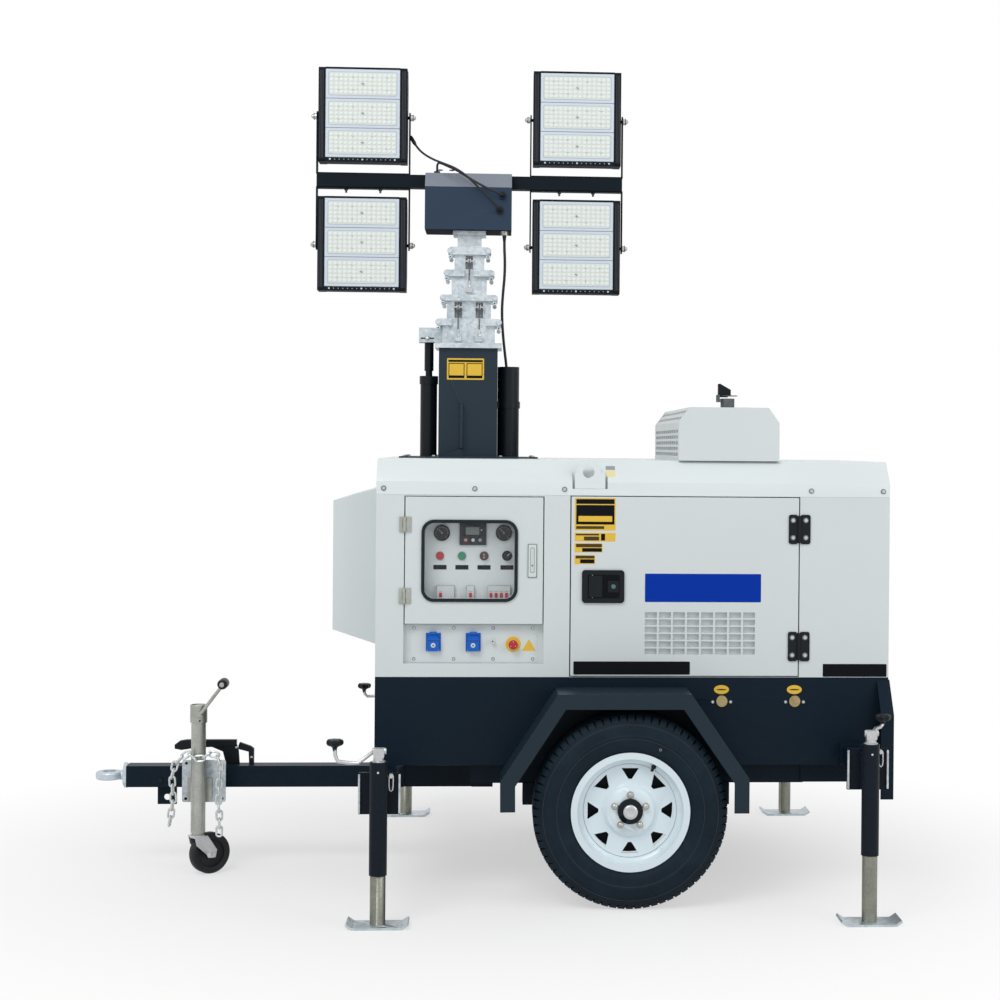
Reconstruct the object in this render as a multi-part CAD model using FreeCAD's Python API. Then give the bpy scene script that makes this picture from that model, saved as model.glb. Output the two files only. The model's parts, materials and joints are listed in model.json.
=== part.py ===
"""Towed light tower: a generator trailer with a telescopic mast and four floodlights.

All sizes are millimetres. X runs from the tow eye to the rear, Y is across, Z is up and
the ground is z = 0. The sizes below are written with X counted from the wheel axle.
Pieces are drawn on the far side (+Y), and near-side pieces are mirrored from them.
"""
import FreeCAD
import Part
import math
import os

V = FreeCAD.Vector
ALONG_X = V(1, 0, 0)
ALONG_Y = V(0, 1, 0)
ALONG_Z = V(0, 0, 1)

# Clearances
run_gap = 0.3            # between pieces that slide or turn on each other
seat_gap = 0.3           # between a fitting and the surface that carries it
door_gap = 4.0           # round a door in its opening

# Canopy and base
wheel_radius = 340.0
body_front = -897.0
body_rear = 936.0
body_half = 593.0
rail_low = wheel_radius + 60
base_low = rail_low + 75
base_top = base_low + 313
roof_fold = 1481.0
wall_top = roof_fold - 48    # walls end here and the roof's band begins
roof_chamfer = 78.0
roof_top = roof_fold + 79
wall = 30.0
base_wall = 25.0
base_floor = 20.0
roof_skin = 25.0
sheet = 4.0              # folded sheet of hoods and boxes
roof_flat_half = body_half - roof_chamfer

# Wheels
tyre_in = body_half + 12
tyre_out = tyre_in + 185
rim_radius = 191.0
rim_flange_radius = 207.5
disc_out = tyre_out - 38
disc_thick = 6.0
hat_radius = 76.0
hat_rise = 14.0
hub_radius = 43.0
spindle_radius = 22.0
nut_circle = 114.3 / 2
nut_count = 5
window_count = 8
window_radius = 129.0
window_base = 61.0
window_height = 38.0

# Axle and springs
axle_tube = 60.0
axle_half = body_half - 3
spring_y = body_half - 93
spring_width = 50.0
spring_reach = 350.0
spring_leaf = 12.0
eye_z = wheel_radius + 5      # height of the spring eyes
hanger_half = 33.0
eye_out = 12.0
rail_width = 50.0
rail_front = -560.0
rail_rear = 640.0

# Drawbar and tow eye
bar_size = 80.0
bar_wall = 6.0
bar_low = wheel_radius - 38
bar_front = -1867.0
bar_rear = -480.0
chain_hole_x = -1718.0
chain_hole_z = bar_low - 44
chain_hole_radius = 12.0
chain_plate_half = 36.0
chain_plate_drop = 71.0
chain_plate_thick = 10.0
lever_x = -1410.0
# the brake lever's outline from its foot, as (run, rise) over the drawbar
lever_outline = [(0, 66), (-42, 80), (-76, 90), (-90, 80), (-150, 48), (-280, 70), (-293, 63),
                 (-290, 50), (-150, 28), (-60, 18)]
eye_x = -1937.0
eye_radius = 50.0
eye_bore = 25.0
eye_thick = 30.0
eye_shank = 18.0
eye_flange_across = 84.0
eye_flange_thick = 14.0

# Outriggers and jacks
jack_y = body_half + 380
jack_radius = 30.0
leg_radius = 26.0
arm_size = 60.0
sleeve_size = 80.0
front_jack_x = -858.0
rear_jack_x = 800.0
front_arm_z = base_low - sleeve_size / 2
rear_arm_z = base_low + 39
front_tube_low = 172.0
front_tube_top = front_arm_z + 115
rear_tube_low = 231.0
rear_tube_top = rear_arm_z + 94
swivel_plate = 140.0
plate_thick = 8.0
swivel_radius = 27.5
foot_length = 210.0
foot_width = 110.0
foot_thick = 8.0
jack_head = 46.0
arm_tail = body_half - 153         # the inner end of an outrigger, from the centre plane

# Mast
mast_x = -585.0
mast_size = 222.0
mast_wall = 5.0
mast_top = 1977.0
mast_flange = 253.0
mast_flange_thick = 19.0
roof_plate_front = -840.0
roof_plate_rear = -320.0
roof_plate_half = 190.0
roof_plate_thick = 6.0
foot_step = 10.0         # each section's foot stands this much above the last one's
guide_height = 20.0
# section: outside width, underside of the collar, top of the collar, width of the collar
sections = [
    (198.0, 2062.0, 2088.0, 230.0),
    (166.0, 2157.0, 2180.0, 197.0),
    (132.0, 2251.0, 2276.0, 171.0),
    (112.0, 2335.0, 2364.0, 144.0),
    (90.0, 2411.0, 2427.0, 125.0),
]
# collar with a gap in its front: section, width of the gap
collar_gaps = [(0, 126.0), (2, 34.0)]
# rope run: section with the sheave, section with the anchor, x from the mast's centre,
# bottom and top of the window, height of the anchor
rope_runs = [
    (1, 0, -40.0, 2093.0, 2153.0, 2012.0),
    (1, 0, 40.0, 2093.0, 2153.0, 2012.0),
    (3, 2, 0.0, 2280.0, 2331.0, 2200.0),
]
window_half = 14.0       # half the width of a sheave's window
sheave_radius = 14.0
sheave_groove = 10.5
sheave_half = 5.0
rope_clear = 3.0         # a rope's centre stands this far off the section with its anchor
anchor_size = (13.0, 10.0, 12.0)     # half width, half height and depth of a rope anchor
lift_x = -737.0
lift_radius = 32.0
lift_bore = 27.0
lift_top = 1873.0
lift_rod_radius = 13.0
cable_tube_x = -432.0
cable_tube_radius = 41.5
cable_tube_top = 1911.0

# Head, lamp bar and lamps
head_front = -754.0
head_rear = -425.0
head_half = 100.0
head_low = 2427.0
head_face_top = 2589.0
lamp_bar_size = 50.0
lamp_bar_low = 2592.0
lamp_bar_reach = 584.0
head_top = lamp_bar_low + lamp_bar_size + sheet
lamp_spread = 408.0
lamp_width = 335.0
lamp_height = 358.0
lamp_pivot_rise = 220.0
lamp_face_y = 62.0       # from the pivot to the lamp's face
lamp_back_y = 48.0
cheek = 27.0
module_height = 110.4
module_pitch = 111.6
module_count = 3
lamp_rail_low = 16.0
lamp_rail_top = 6.5
fin_count = 11
yoke_width = 40.0
yoke_thick = 5.0
yoke_play = 6.0
pin_radius = 6.0

# Tow-side jockey wheel
jockey_x = -1575.0
jockey_y = 175.0
jockey_radius = 27.0
jockey_low = 158.0
jockey_top = bar_low + 324
jockey_pivot_z = bar_low + 7
jockey_stem_radius = 23.0
jockey_wheel_radius = 76.0
jockey_wheel_width = 42.0
castor_trail = 48.0
castor_turn = 35.0

# Doors
control_front = -794.0
control_rear = -307.0
control_low = 976.0
control_top = wall_top - 7
socket_low = base_top + 47
window_front = -737.0
window_rear = -396.0
window_low = 1054.0
window_top = 1345.0
window_corner = 45.0
gasket = 12.0
side_front = -207.0
side_rear = 608.0
side_low = base_top + 5
side_top = wall_top - 3
hinge_stand = 7.0        # the hinge pin's centre, out from the wall's face
hinge_pin = 3.0
hinge_barrel = 6.0
grille_x = 58.0
grille_z = 869.0
grille_columns = 8
grille_rows = 6
grille_hole = (42.0, 20.0)
grille_pitch = (50.3, 26.0)
panel_y = body_half - 73          # face of the instrument plate, from the centre plane

# Roof box, rain cap and front hood
air_front = 180.0
air_rear = 544.0
air_half = body_half - 61
air_top = roof_top + 193
air_chamfer = (40.0, 55.0)
pipe_x = 417.0
pipe_radius = 27.0
pipe_top = air_top + 45
air_slot_rows = 5
air_slot_columns = 11
air_slot_low = roof_top + 16
air_slot_pitch_z = 21.0
air_slot_pitch_y = 88.0
air_slot_length = 60.0
air_slot_height = 12.0
air_chamfer_rows = (0.3, 0.7)    # heights of the slots in the chamfer, as shares of it
cap_hinge_x = pipe_x - pipe_radius - 10
cap_hinge_z = pipe_top + 8
cap_lift = 9.0                   # the flap rests this much above the pipe
cap_arm_half = 8.0
cap_ear_half = 14.0
cap_pin_radius = 2.6
hood_front = -1055.0
hood_half = body_half - 93
hood_low = (894.0, 947.0)
hood_top = (wall_top + 21, wall_top - 25)

# Fenders and rear board
fender_out = tyre_out + 10
fender_lip = 52.0
# the mudguard's folds round the wheel, as (x, z)
fender_path = [(-wheel_radius - 112, wheel_radius + 6), (-wheel_radius - 113, wheel_radius + 110),
               (84 - wheel_radius, wheel_radius + 412), (wheel_radius - 132, wheel_radius + 412),
               (wheel_radius + 71, wheel_radius + 120), (wheel_radius + 71, wheel_radius)]
board_x = 936.0
board_thick = 4.0
board_low = base_low - 110
board_corner = (body_half + 87, base_low + 189)
board_top = base_top - 9
board_lip = 42.0
tail_lamp_depth = 25.0

# Engine, drain plugs and the rear wall's slots
engine_x = (-100.0, 620.0)
engine_half = 210.0
engine_low = base_low + 85
engine_top = base_top + 312
engine_feet = (-20.0, 540.0)
drain_plug_x = (335.0, 597.0)
drain_plug_z = base_top - 85
drain_plug_radius = 20.0

rear_slot_count = 8
rear_slot_low = 950.0
rear_slot_pitch = 45.0
rear_slot_height = 22.0
rear_slot_half = 300.0

# Hinges: where each pin stands and the heights of its two hinges
side_hinge_x = 612.0
side_hinge_spans = ((843.0, 950.0), (1262.0, 1369.0))
control_hinge_x = -797.0
control_hinge_spans = ((1048.0, 1103.0), (1301.0, 1355.0))

# Lifting plate in its pocket at the roof's side
lug_x = (-196.0, -87.0)
lug_thick = 12.0
lug_hole = 20.0
lug_hole_x = -147.0
lug_hole_z = roof_top - 44
lug_floor = roof_fold - 24
pocket_y = body_half - 33

# Instruments: x, z, and the radius or half sizes, and how far each stands out of the plate
gauge_spots = ((-667.0, 1295.0), (-446.0, 1296.0))
gauge_radius = 29.0
button_spots = ((-673.0, 1213.0, 10.0, 12.0), (-595.0, 1213.0, 10.0, 12.0),
                (-516.0, 1213.0, 12.0, 14.0), (-434.0, 1214.0, 14.0, 20.0))
controller_spot = (-556.0, 1292.0, 48.0, 40.0)
breaker_spans = ((-683.0, -622.0), (-576.0, -551.0), (-501.0, -422.0))
breaker_z = (1063.0, 1106.0)
socket_spots = ((-693.0, 909.0), (-552.0, 909.0))
socket_half = (26.5, 32.5)
stop_spot = (-410.0, 902.0)
earth_spot = (-483.0, 913.0)

# Jack: x, height of the outrigger, bottom and top of the outer tube, side the foot swings to
jacks = {
    "front": (front_jack_x, front_arm_z, front_tube_low, front_tube_top, -1),
    "rear": (rear_jack_x, rear_arm_z, rear_tube_low, rear_tube_top, 1),
}

leg_top_heights = {"front": 385.0, "rear": 383.0}

# Grab handle on the mast: x, lower and upper foot, and how far it stands out
grab_handle = (-608.0, 1600.0, 1757.0, 28.0)

# Cable glands of the head box: x and z on its face, x and y on its floor and top
lead_gland_spots = ((-460.0, 2557.0), (-470.0, 2501.0))
cable_gland_spot = (-452.0, -55.0)
top_gland_spot = (-712.0, 4.0)

# Safety chain: its route over the jockey tube, as (x, z)
chain_route = [(-1667.0, 216.0), (-1668.0, 270.0), (-1662.0, 325.0), (-1645.0, 372.0),
               (-1615.0, 406.0), (-1575.0, 424.0), (-1535.0, 426.0), (-1503.0, 406.0),
               (-1484.0, 366.0), (-1473.0, 313.0), (-1466.0, 250.0), (-1461.0, 180.0),
               (-1459.0, 130.0)]
link_wire = 6.0
link_length = 40.0
link_width = 26.0
link_play = 2.5
chain_play = 11.5        # from the jockey tube's side to the middle of the chain
chain_y = -(jockey_y + jockey_radius + chain_play)

# Cords: diameter and the points of each route
mast_cable_size = 10.4
mast_cable_route = [(-452, -55, 2411), (-452, -55, 2366), (-449, -54, 2312), (-450, -48, 2255),
                    (-455, -40, 2198), (-459, -31, 2141), (-458, -24, 2085), (-454, -16, 2030),
                    (-448, -9, 1975), (-441, -4, 1920), (-435, -1, 1866), (-432, 0, 1815)]
lead_size = 8.3
lead_clip_start = (-814.0, -2.6, 2790.0)      # clip on the upper left yoke, one lead hangs from it
lead_clip_along = (0.466, -0.407, -0.786)
lead_clip_radius = 7.0
lead_clip_length = 26.0
lamp_lead_routes = [
    [(-801, -14, 2768), (-785, -28, 2741), (-757, -56, 2714), (-720, -90, 2690),
     (-680, -118, 2672), (-640, -136, 2655), (-603, -146, 2630), (-569, -151, 2599),
     (-538, -152, 2568), (-511, -151, 2541), (-490, -147, 2520), (-476, -139, 2507),
     (-470, -126, 2501), (-470, -108, 2501)],
    [(-460, -108, 2557), (-460, -124, 2557), (-467, -135, 2559), (-484, -138, 2565),
     (-508, -136, 2575), (-538, -131, 2591), (-572, -122, 2611), (-608, -108, 2634),
     (-640, -90, 2655), (-668, -66, 2670), (-690, -41, 2683), (-704, -19, 2690),
     (-711, -3, 2687), (-712, 4, 2675), (-712, 4, 2660)],
]

tow_tip_x = eye_x - eye_radius
rear_end_x = board_x + board_thick + tail_lamp_depth
centre_shift = -(tow_tip_x + rear_end_x) / 2


def box(x, y, z):
    """A block between the low and high value on each axis."""
    return Part.makeBox(x[1] - x[0], y[1] - y[0], z[1] - z[0], V(x[0], y[0], z[0]))


def rod(axis, radius, start, length):
    return Part.makeCylinder(radius, length, V(*start), axis)


def pipe(axis, outer, inner, start, length):
    return rod(axis, outer, start, length).cut(rod(axis, inner, start, length))


def face_of(points):
    return Part.Face(Part.makePolygon([V(*p) for p in points] + [V(*points[0])]))


def prism_xz(points, y_low, y_high):
    """Extrude an outline given as (x, z) along Y."""
    return face_of([(x, y_low, z) for x, z in points]).extrude(V(0, y_high - y_low, 0))


def prism_yz(points, x_low, x_high):
    """Extrude an outline given as (y, z) along X."""
    return face_of([(x_low, y, z) for y, z in points]).extrude(V(x_high - x_low, 0, 0))


def prism_xy(points, z_low, z_high):
    """Extrude an outline given as (x, y) along Z."""
    return face_of([(x, y, z_low) for x, y in points]).extrude(V(0, 0, z_high - z_low))


def near(shape):
    """The near-side twin of a far-side piece."""
    return shape.mirror(V(0, 0, 0), ALONG_Y)


def fuse(first, *others):
    return first.multiFuse(list(others)).removeSplitter()


def square(width, z_low, z_high, centre_x=mast_x):
    half = width / 2
    return box((centre_x - half, centre_x + half), (-half, half), (z_low, z_high))


def rounded_plate(x, z, corner, y_low, y_high):
    """A plate in the XZ plane with four round corners."""
    body = box((x[0], x[1]), (y_low, y_high), (z[0], z[1]))
    edges = [e for e in body.Edges if abs(e.BoundBox.YLength - (y_high - y_low)) < 1e-6]
    return body.makeFillet(corner, edges)


def bent_rod(radius, points):
    """A rod through the points, with a ball at each bend."""
    pieces = []
    for a, b in zip(points, points[1:]):
        run = V(*b) - V(*a)
        pieces.append(Part.makeCylinder(radius, run.Length, V(*a), run))
    pieces += [Part.makeSphere(radius, V(*p)) for p in points[1:-1]]
    return fuse(pieces[0], *pieces[1:])


def offset_path(path, distance):
    """The corners of a path moved to its right-hand side by a distance."""
    moved = []
    for i, (x, z) in enumerate(path):
        normals = []
        for a, b in ((i - 1, i), (i, i + 1)):
            if 0 <= a and b < len(path):
                dx = path[b][0] - path[a][0]
                dz = path[b][1] - path[a][1]
                size = math.hypot(dx, dz)
                normals.append((dz / size, -dx / size))
        nx = sum(n[0] for n in normals)
        nz = sum(n[1] for n in normals)
        scale = distance * len(normals) / (nx * nx + nz * nz)
        moved.append((x + nx * scale, z + nz * scale))
    return moved


def base_frame():
    tray = box((body_front, body_rear), (-body_half, body_half), (base_low, base_top))
    tray = tray.cut(box((body_front + base_wall, body_rear - base_wall),
                        (-body_half + base_wall, body_half - base_wall),
                        (base_low + base_floor, base_top)))
    half = sleeve_size / 2
    reach = body_half + 27
    sleeve = box((rear_jack_x - half, rear_jack_x + half), (-reach, reach),
                 (rear_arm_z - half, rear_arm_z + half))
    bore = arm_size / 2 + run_gap
    sleeve_bore = box((rear_jack_x - bore, rear_jack_x + bore), (-reach, reach),
                      (rear_arm_z - bore, rear_arm_z + bore))
    floor_z = base_low + base_floor
    bearers = [box((x - 30, x + 30), (-body_half + base_wall, body_half - base_wall),
                   (floor_z, engine_low)) for x in engine_feet]
    plugs = []
    for x in drain_plug_x:
        for side in (1, -1):
            start = (x, side * body_half, drain_plug_z)
            plugs.append(rod(ALONG_Y * side, drain_plug_radius, start, 8))
    return fuse(tray, sleeve, *bearers, *plugs).cut(sleeve_bore)


def engine_block():
    return box(engine_x, (-engine_half, engine_half), (engine_low, engine_top))


def grille_holes(x, z, y_low, y_high):
    """The columns and rows of a door grille, from its lower front corner."""
    holes = []
    for column in range(grille_columns):
        for row in range(grille_rows):
            left = x + column * grille_pitch[0]
            low = z + row * grille_pitch[1]
            holes.append(box((left, left + grille_hole[0]), (y_low, y_high),
                             (low, low + grille_hole[1])))
    return Part.makeCompound(holes)


def hinge(x, z_low, z_high, door_side, leaf_door, leaf_frame):
    """Door half and frame half of one hinge, with its pin along Z at x.

    door_side is -1 where the door lies towards the tow end of the pin, else 1.
    """
    y = body_half + hinge_stand
    third = (z_high - z_low) / 3
    spans = [(z_low, z_low + third), (z_low + third, z_high - third), (z_high - third, z_high)]
    leaf = (body_half + seat_gap, body_half + 5)

    def leaf_box(side, reach, start):
        near_x = x + side * start
        far_x = x + side * reach
        return (min(near_x, far_x), max(near_x, far_x))

    door = box(leaf_box(door_side, leaf_door, hinge_barrel + 1), leaf, (z_low, z_high))
    middle = (spans[1][0] + run_gap, spans[1][1] - run_gap)
    knuckle = rod(ALONG_Z, hinge_barrel, (x, y, middle[0]), middle[1] - middle[0])
    web = box(leaf_box(door_side, hinge_barrel + 1, 0), leaf, middle)
    hole = rod(ALONG_Z, hinge_pin + run_gap, (x, y, z_low), z_high - z_low)
    door = fuse(door, web, knuckle).cut(hole)

    frame = box(leaf_box(-door_side, leaf_frame, hinge_barrel + 1), leaf, (z_low, z_high))
    parts = [rod(ALONG_Z, hinge_pin, (x, y, z_low), z_high - z_low)]
    for low, high in (spans[0], spans[2]):
        parts.append(rod(ALONG_Z, hinge_barrel, (x, y, low), high - low))
        parts.append(box(leaf_box(-door_side, hinge_barrel + 1, 0), leaf, (low, high)))
    return door, fuse(frame, *parts)


def side_hinges():
    pairs = [hinge(side_hinge_x, low, high, -1, 41, 38) for low, high in side_hinge_spans]
    return [p[0] for p in pairs], [p[1] for p in pairs]


def control_hinges():
    pairs = [hinge(control_hinge_x, low, high, 1, 24, 18) for low, high in control_hinge_spans]
    return [p[0] for p in pairs], [p[1] for p in pairs]


def side_wall(with_control):
    inner = body_half - wall
    slab = box((body_front, body_rear), (inner, body_half), (base_top, wall_top))
    through = (inner, body_half)
    slab = slab.cut(box((side_front - door_gap, side_rear + door_gap), through,
                        (side_low - door_gap, side_top + door_gap - 1)))
    fittings = side_hinges()[1]
    if with_control:
        slab = slab.cut(box((control_front - door_gap, control_rear + door_gap), through,
                            (socket_low, control_top + door_gap - 1)))
        fittings += control_hinges()[1]
    return Part.makeCompound([slab] + fittings)


def end_panels():
    """Front and rear walls between the side walls, the rear one with its air grille."""
    inner = body_half - wall
    front = box((body_front, body_front + wall), (-inner, inner), (base_top, wall_top))
    front = front.cut(box((body_front, body_front + wall), (-hood_half + 60, hood_half - 60),
                          (hood_low[0] + 60, hood_top[0] - 100)))
    rear = box((body_rear - wall, body_rear), (-inner, inner), (base_top, wall_top))
    slots = []
    for row in range(rear_slot_count):
        low = rear_slot_low + row * rear_slot_pitch
        slots.append(box((body_rear - wall, body_rear), (-rear_slot_half, rear_slot_half),
                         (low, low + rear_slot_height)))
    return Part.makeCompound([front, rear.cut(Part.makeCompound(slots))])


def roof_outline(inset):
    """The roof's section from one skin thickness in from its outside."""
    half = body_half - inset
    flat = roof_flat_half - inset * 0.41
    return [(-half, wall_top), (-half, roof_fold - inset * 0.41), (-flat, roof_top - inset),
            (flat, roof_top - inset), (half, roof_fold - inset * 0.41), (half, wall_top)]


def lug():
    """Lifting plate with a round head and a shackle hole, at the roof's side."""
    y = (body_half - 3 - lug_thick, body_half - 3)
    radius = roof_top - lug_hole_z
    plate = box((lug_x[0], lug_x[1]), y, (lug_floor + seat_gap, lug_hole_z))
    head = rod(ALONG_Y, radius, (lug_hole_x, y[0], lug_hole_z), lug_thick)
    plate = fuse(plate, head)
    return plate.cut(rod(ALONG_Y, lug_hole, (lug_hole_x, y[0], lug_hole_z), lug_thick))


def roof():
    shell = prism_yz(roof_outline(0), body_front, body_rear)
    shell = shell.cut(prism_yz(roof_outline(roof_skin), body_front + roof_skin,
                               body_rear - roof_skin))
    shell = shell.cut(box((mast_x - 205, mast_x + 125), (-130, 130),
                          (roof_top - roof_skin, roof_top)))
    shell = shell.cut(box((air_front + 40, air_rear - 40), (-air_half + 80, air_half - 80),
                          (roof_top - roof_skin, roof_top)))
    pocket = (lug_x[0] - 8, lug_x[1] + 8)
    pieces = []
    for side in (1, -1):
        notch = box(pocket, (pocket_y, body_half), (lug_floor, roof_top))
        liner = box((pocket[0] - sheet, pocket[1] + sheet), (pocket_y - sheet, body_half - 2),
                    (lug_floor - sheet, roof_top - sheet)).cut(notch)
        inside = prism_yz(roof_outline(1), body_front, body_rear)
        liner = liner.common(inside)
        if side == -1:
            notch, liner = near(notch), near(liner)
        shell = shell.cut(notch)
        pieces.append(liner)
    shell = fuse(shell, *pieces)
    return Part.makeCompound([shell, lug(), near(lug())])


def control_door():
    inner = body_half - wall
    slab = box((control_front, control_rear), (inner, body_half), (control_low, control_top))
    opening = rounded_plate((window_front + gasket, window_rear - gasket),
                            (window_low + gasket, window_top - gasket),
                            window_corner - gasket, inner, body_half)
    seal = rounded_plate((window_front, window_rear), (window_low, window_top),
                         window_corner, body_half + seat_gap, body_half + 6)
    seal = seal.cut(rounded_plate((window_front + gasket, window_rear - gasket),
                                  (window_low + gasket, window_top - gasket),
                                  window_corner - gasket, body_half, body_half + 6))
    handle = box((-360, -329), (body_half + seat_gap, body_half + 3), (1142, 1260))
    grip = box((-353, -336), (body_half, body_half + 3), (1150, 1252))
    slab = slab.cut(opening)
    return Part.makeCompound([slab, seal, handle.cut(grip)] + control_hinges()[0])


def control_window():
    """Clear pane in the control door's opening."""
    inset = gasket + seat_gap
    return rounded_plate((window_front + inset, window_rear - inset),
                         (window_low + inset, window_top - inset),
                         window_corner - inset, body_half - 6, body_half - 1)


def side_door():
    inner = body_half - wall
    slab = box((side_front, side_rear), (inner, body_half), (side_low, side_top))
    slab = slab.cut(grille_holes(grille_x, grille_z, inner, body_half))
    latch = box((-168, -17), (body_half + seat_gap, body_half + 5), (1052, 1169))
    dish = box((-156, -60), (body_half + 2, body_half + 5), (1064, 1157))
    paddle = box((-150, -72), (body_half + 2, body_half + 8), (1072, 1149))
    latch = fuse(latch.cut(dish), paddle)
    return Part.makeCompound([slab, latch] + side_hinges()[0])


def control_panel():
    """Folded plate: instruments above, sockets below, with its box sides."""
    front = control_front - door_gap
    rear = control_rear + door_gap
    inner = body_half - wall
    shelf = control_low - door_gap
    top = control_top + door_gap
    skin = 3.0
    upper = box((front - skin, rear + skin), (panel_y - skin, panel_y), (shelf - skin, top))
    shelf_plate = box((front - skin, rear + skin), (panel_y, inner - skin), (shelf - skin, shelf))
    lower = box((front - skin, rear + skin), (inner - skin, inner), (socket_low - 9, shelf))
    cheeks = [box((x, x + skin), (panel_y, inner), (shelf, top)) for x in (front - skin, rear)]
    cap = box((front - skin, rear + skin), (panel_y - skin, inner), (top, top + 2))
    return fuse(upper, shelf_plate, lower, cap, *cheeks)


def panel_instruments():
    plate = panel_y + seat_gap
    lower = body_half - wall + seat_gap
    solids = []
    for x, z in gauge_spots:
        solids.append(rod(ALONG_Y, gauge_radius, (x, plate, z), 8))
    for x, z, radius, depth in button_spots:
        collar = rod(ALONG_Y, radius + 4, (x, plate, z), 4)
        solids.append(fuse(collar, rod(ALONG_Y, radius, (x, plate, z), depth)))
    x, z, half_x, half_z = controller_spot
    solids.append(box((x - half_x, x + half_x), (plate, plate + 9), (z - half_z, z + half_z)))
    for low, high in breaker_spans:
        solids.append(box((low, high), (plate, plate + 12), breaker_z))
    for x, z in socket_spots:
        flange = box((x - socket_half[0], x + socket_half[0]), (lower, lower + 6),
                     (z - socket_half[1], z + socket_half[1]))
        lid = rod(ALONG_Y, 22, (x, lower, z + 4), 20)
        solids.append(fuse(flange, lid))
    x, z = stop_spot
    disc = rod(ALONG_Y, 27, (x, lower, z), 3)
    neck = rod(ALONG_Y, 12, (x, lower, z), 14)
    mushroom = rod(ALONG_Y, 18, (x, lower + 12, z), 12)
    solids.append(fuse(disc, neck, mushroom))
    x, z = earth_spot
    solids.append(rod(ALONG_Y, 8, (x, lower, z), 16))
    return Part.makeCompound([near(s) for s in solids])


def exhaust_box():
    """Air and exhaust box on the roof, chamfered at both ends, with a slotted front face."""
    def outline(inset):
        run, drop = air_chamfer
        k = inset * 0.45
        return [(air_front + inset, roof_top), (air_front + inset, air_top - drop - k),
                (air_front + run + k, air_top - inset), (air_rear - run - k, air_top - inset),
                (air_rear - inset, air_top - drop - k), (air_rear - inset, roof_top)]
    shell = prism_xz(outline(0), -air_half, air_half)
    shell = shell.cut(prism_xz(outline(sheet), -air_half + sheet, air_half - sheet))
    slots = []
    for row in range(air_slot_rows):
        z = air_slot_low + row * air_slot_pitch_z
        for column in range(air_slot_columns):
            y = (column - (air_slot_columns - 1) / 2) * air_slot_pitch_y
            slots.append(box((air_front - 1, air_front + sheet + 1),
                             (y - air_slot_length / 2, y + air_slot_length / 2),
                             (z, z + air_slot_height)))
    run, drop = air_chamfer
    lean = math.degrees(math.atan2(run, drop))
    for share in air_chamfer_rows:
        for column in range(air_slot_columns):
            y = (column - (air_slot_columns - 1) / 2) * air_slot_pitch_y
            slot = box((-10, 10), (y - air_slot_length / 2, y + air_slot_length / 2),
                       (-air_slot_height / 2, air_slot_height / 2))
            slot.rotate(V(0, 0, 0), ALONG_Y, lean)
            slot.translate(V(air_front + run * share, 0, air_top - drop * (1 - share)))
            slots.append(slot)
    shell = shell.cut(Part.makeCompound(slots))
    bore = rod(ALONG_Z, pipe_radius + run_gap, (pipe_x, 0, air_top - sheet), sheet)
    stub = pipe(ALONG_Z, pipe_radius, pipe_radius - 3, (pipe_x, 0, roof_top + 60),
                pipe_top - roof_top - 60)
    pipe_side = pipe_x - pipe_radius
    lug_block = box((pipe_side - 12, pipe_side + 2), (-cap_ear_half, cap_ear_half),
                    (pipe_top - 14, pipe_top - 2))
    ears = box((pipe_side - 16, pipe_side - 4), (-cap_ear_half, cap_ear_half),
               (pipe_top - 14, cap_hinge_z + 6))
    ears = ears.cut(box((pipe_side - 17, pipe_side), (-cap_arm_half - 1, cap_arm_half + 1),
                        (pipe_top - 8, cap_hinge_z + 7)))
    ears = ears.cut(rod(ALONG_Y, cap_pin_radius + run_gap,
                        (cap_hinge_x, -cap_ear_half, cap_hinge_z), 2 * cap_ear_half))
    collar = pipe(ALONG_Z, pipe_radius + 10, pipe_radius, (pipe_x, 0, air_top), 4)
    stub = fuse(stub, lug_block, ears, collar)
    return Part.makeCompound([shell.cut(bore), stub])


def rain_cap():
    """Flap over the exhaust pipe on its arm, with the wedge-shaped weight on top."""
    low = pipe_top + cap_lift
    disc = rod(ALONG_Z, pipe_radius + 6, (pipe_x + 6, 0, low), 3)
    arm = box((cap_hinge_x - 4, pipe_x), (-cap_arm_half, cap_arm_half), (low - 4, low + 3))
    pin = rod(ALONG_Y, cap_pin_radius, (cap_hinge_x, -cap_ear_half - 2, cap_hinge_z),
              2 * cap_ear_half + 4)
    start = pipe_x - 38
    top = low + 3
    weight = prism_xz([(start, top - 1), (start + 50, top - 1), (start + 50, top + 22),
                       (start + 8, top + 46), (start, top + 44)], -cap_arm_half, cap_arm_half)
    return fuse(disc, arm, pin, weight)


def front_hood():
    """Air hood on the front wall, open below."""
    def outline(inset):
        return [(body_front, hood_low[0] + inset), (hood_front + inset, hood_low[1] + inset),
                (hood_front + inset, hood_top[1] - inset), (body_front, hood_top[0] - inset)]
    shell = prism_xz(outline(0), -hood_half, hood_half)
    shell = shell.cut(prism_xz(outline(sheet), -hood_half + sheet, hood_half - sheet))
    mouth = box((hood_front + 30, body_front - 20), (-hood_half + 40, hood_half - 40),
                (hood_low[0] - 10, hood_low[1] + 20))
    return shell.cut(mouth)


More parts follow.
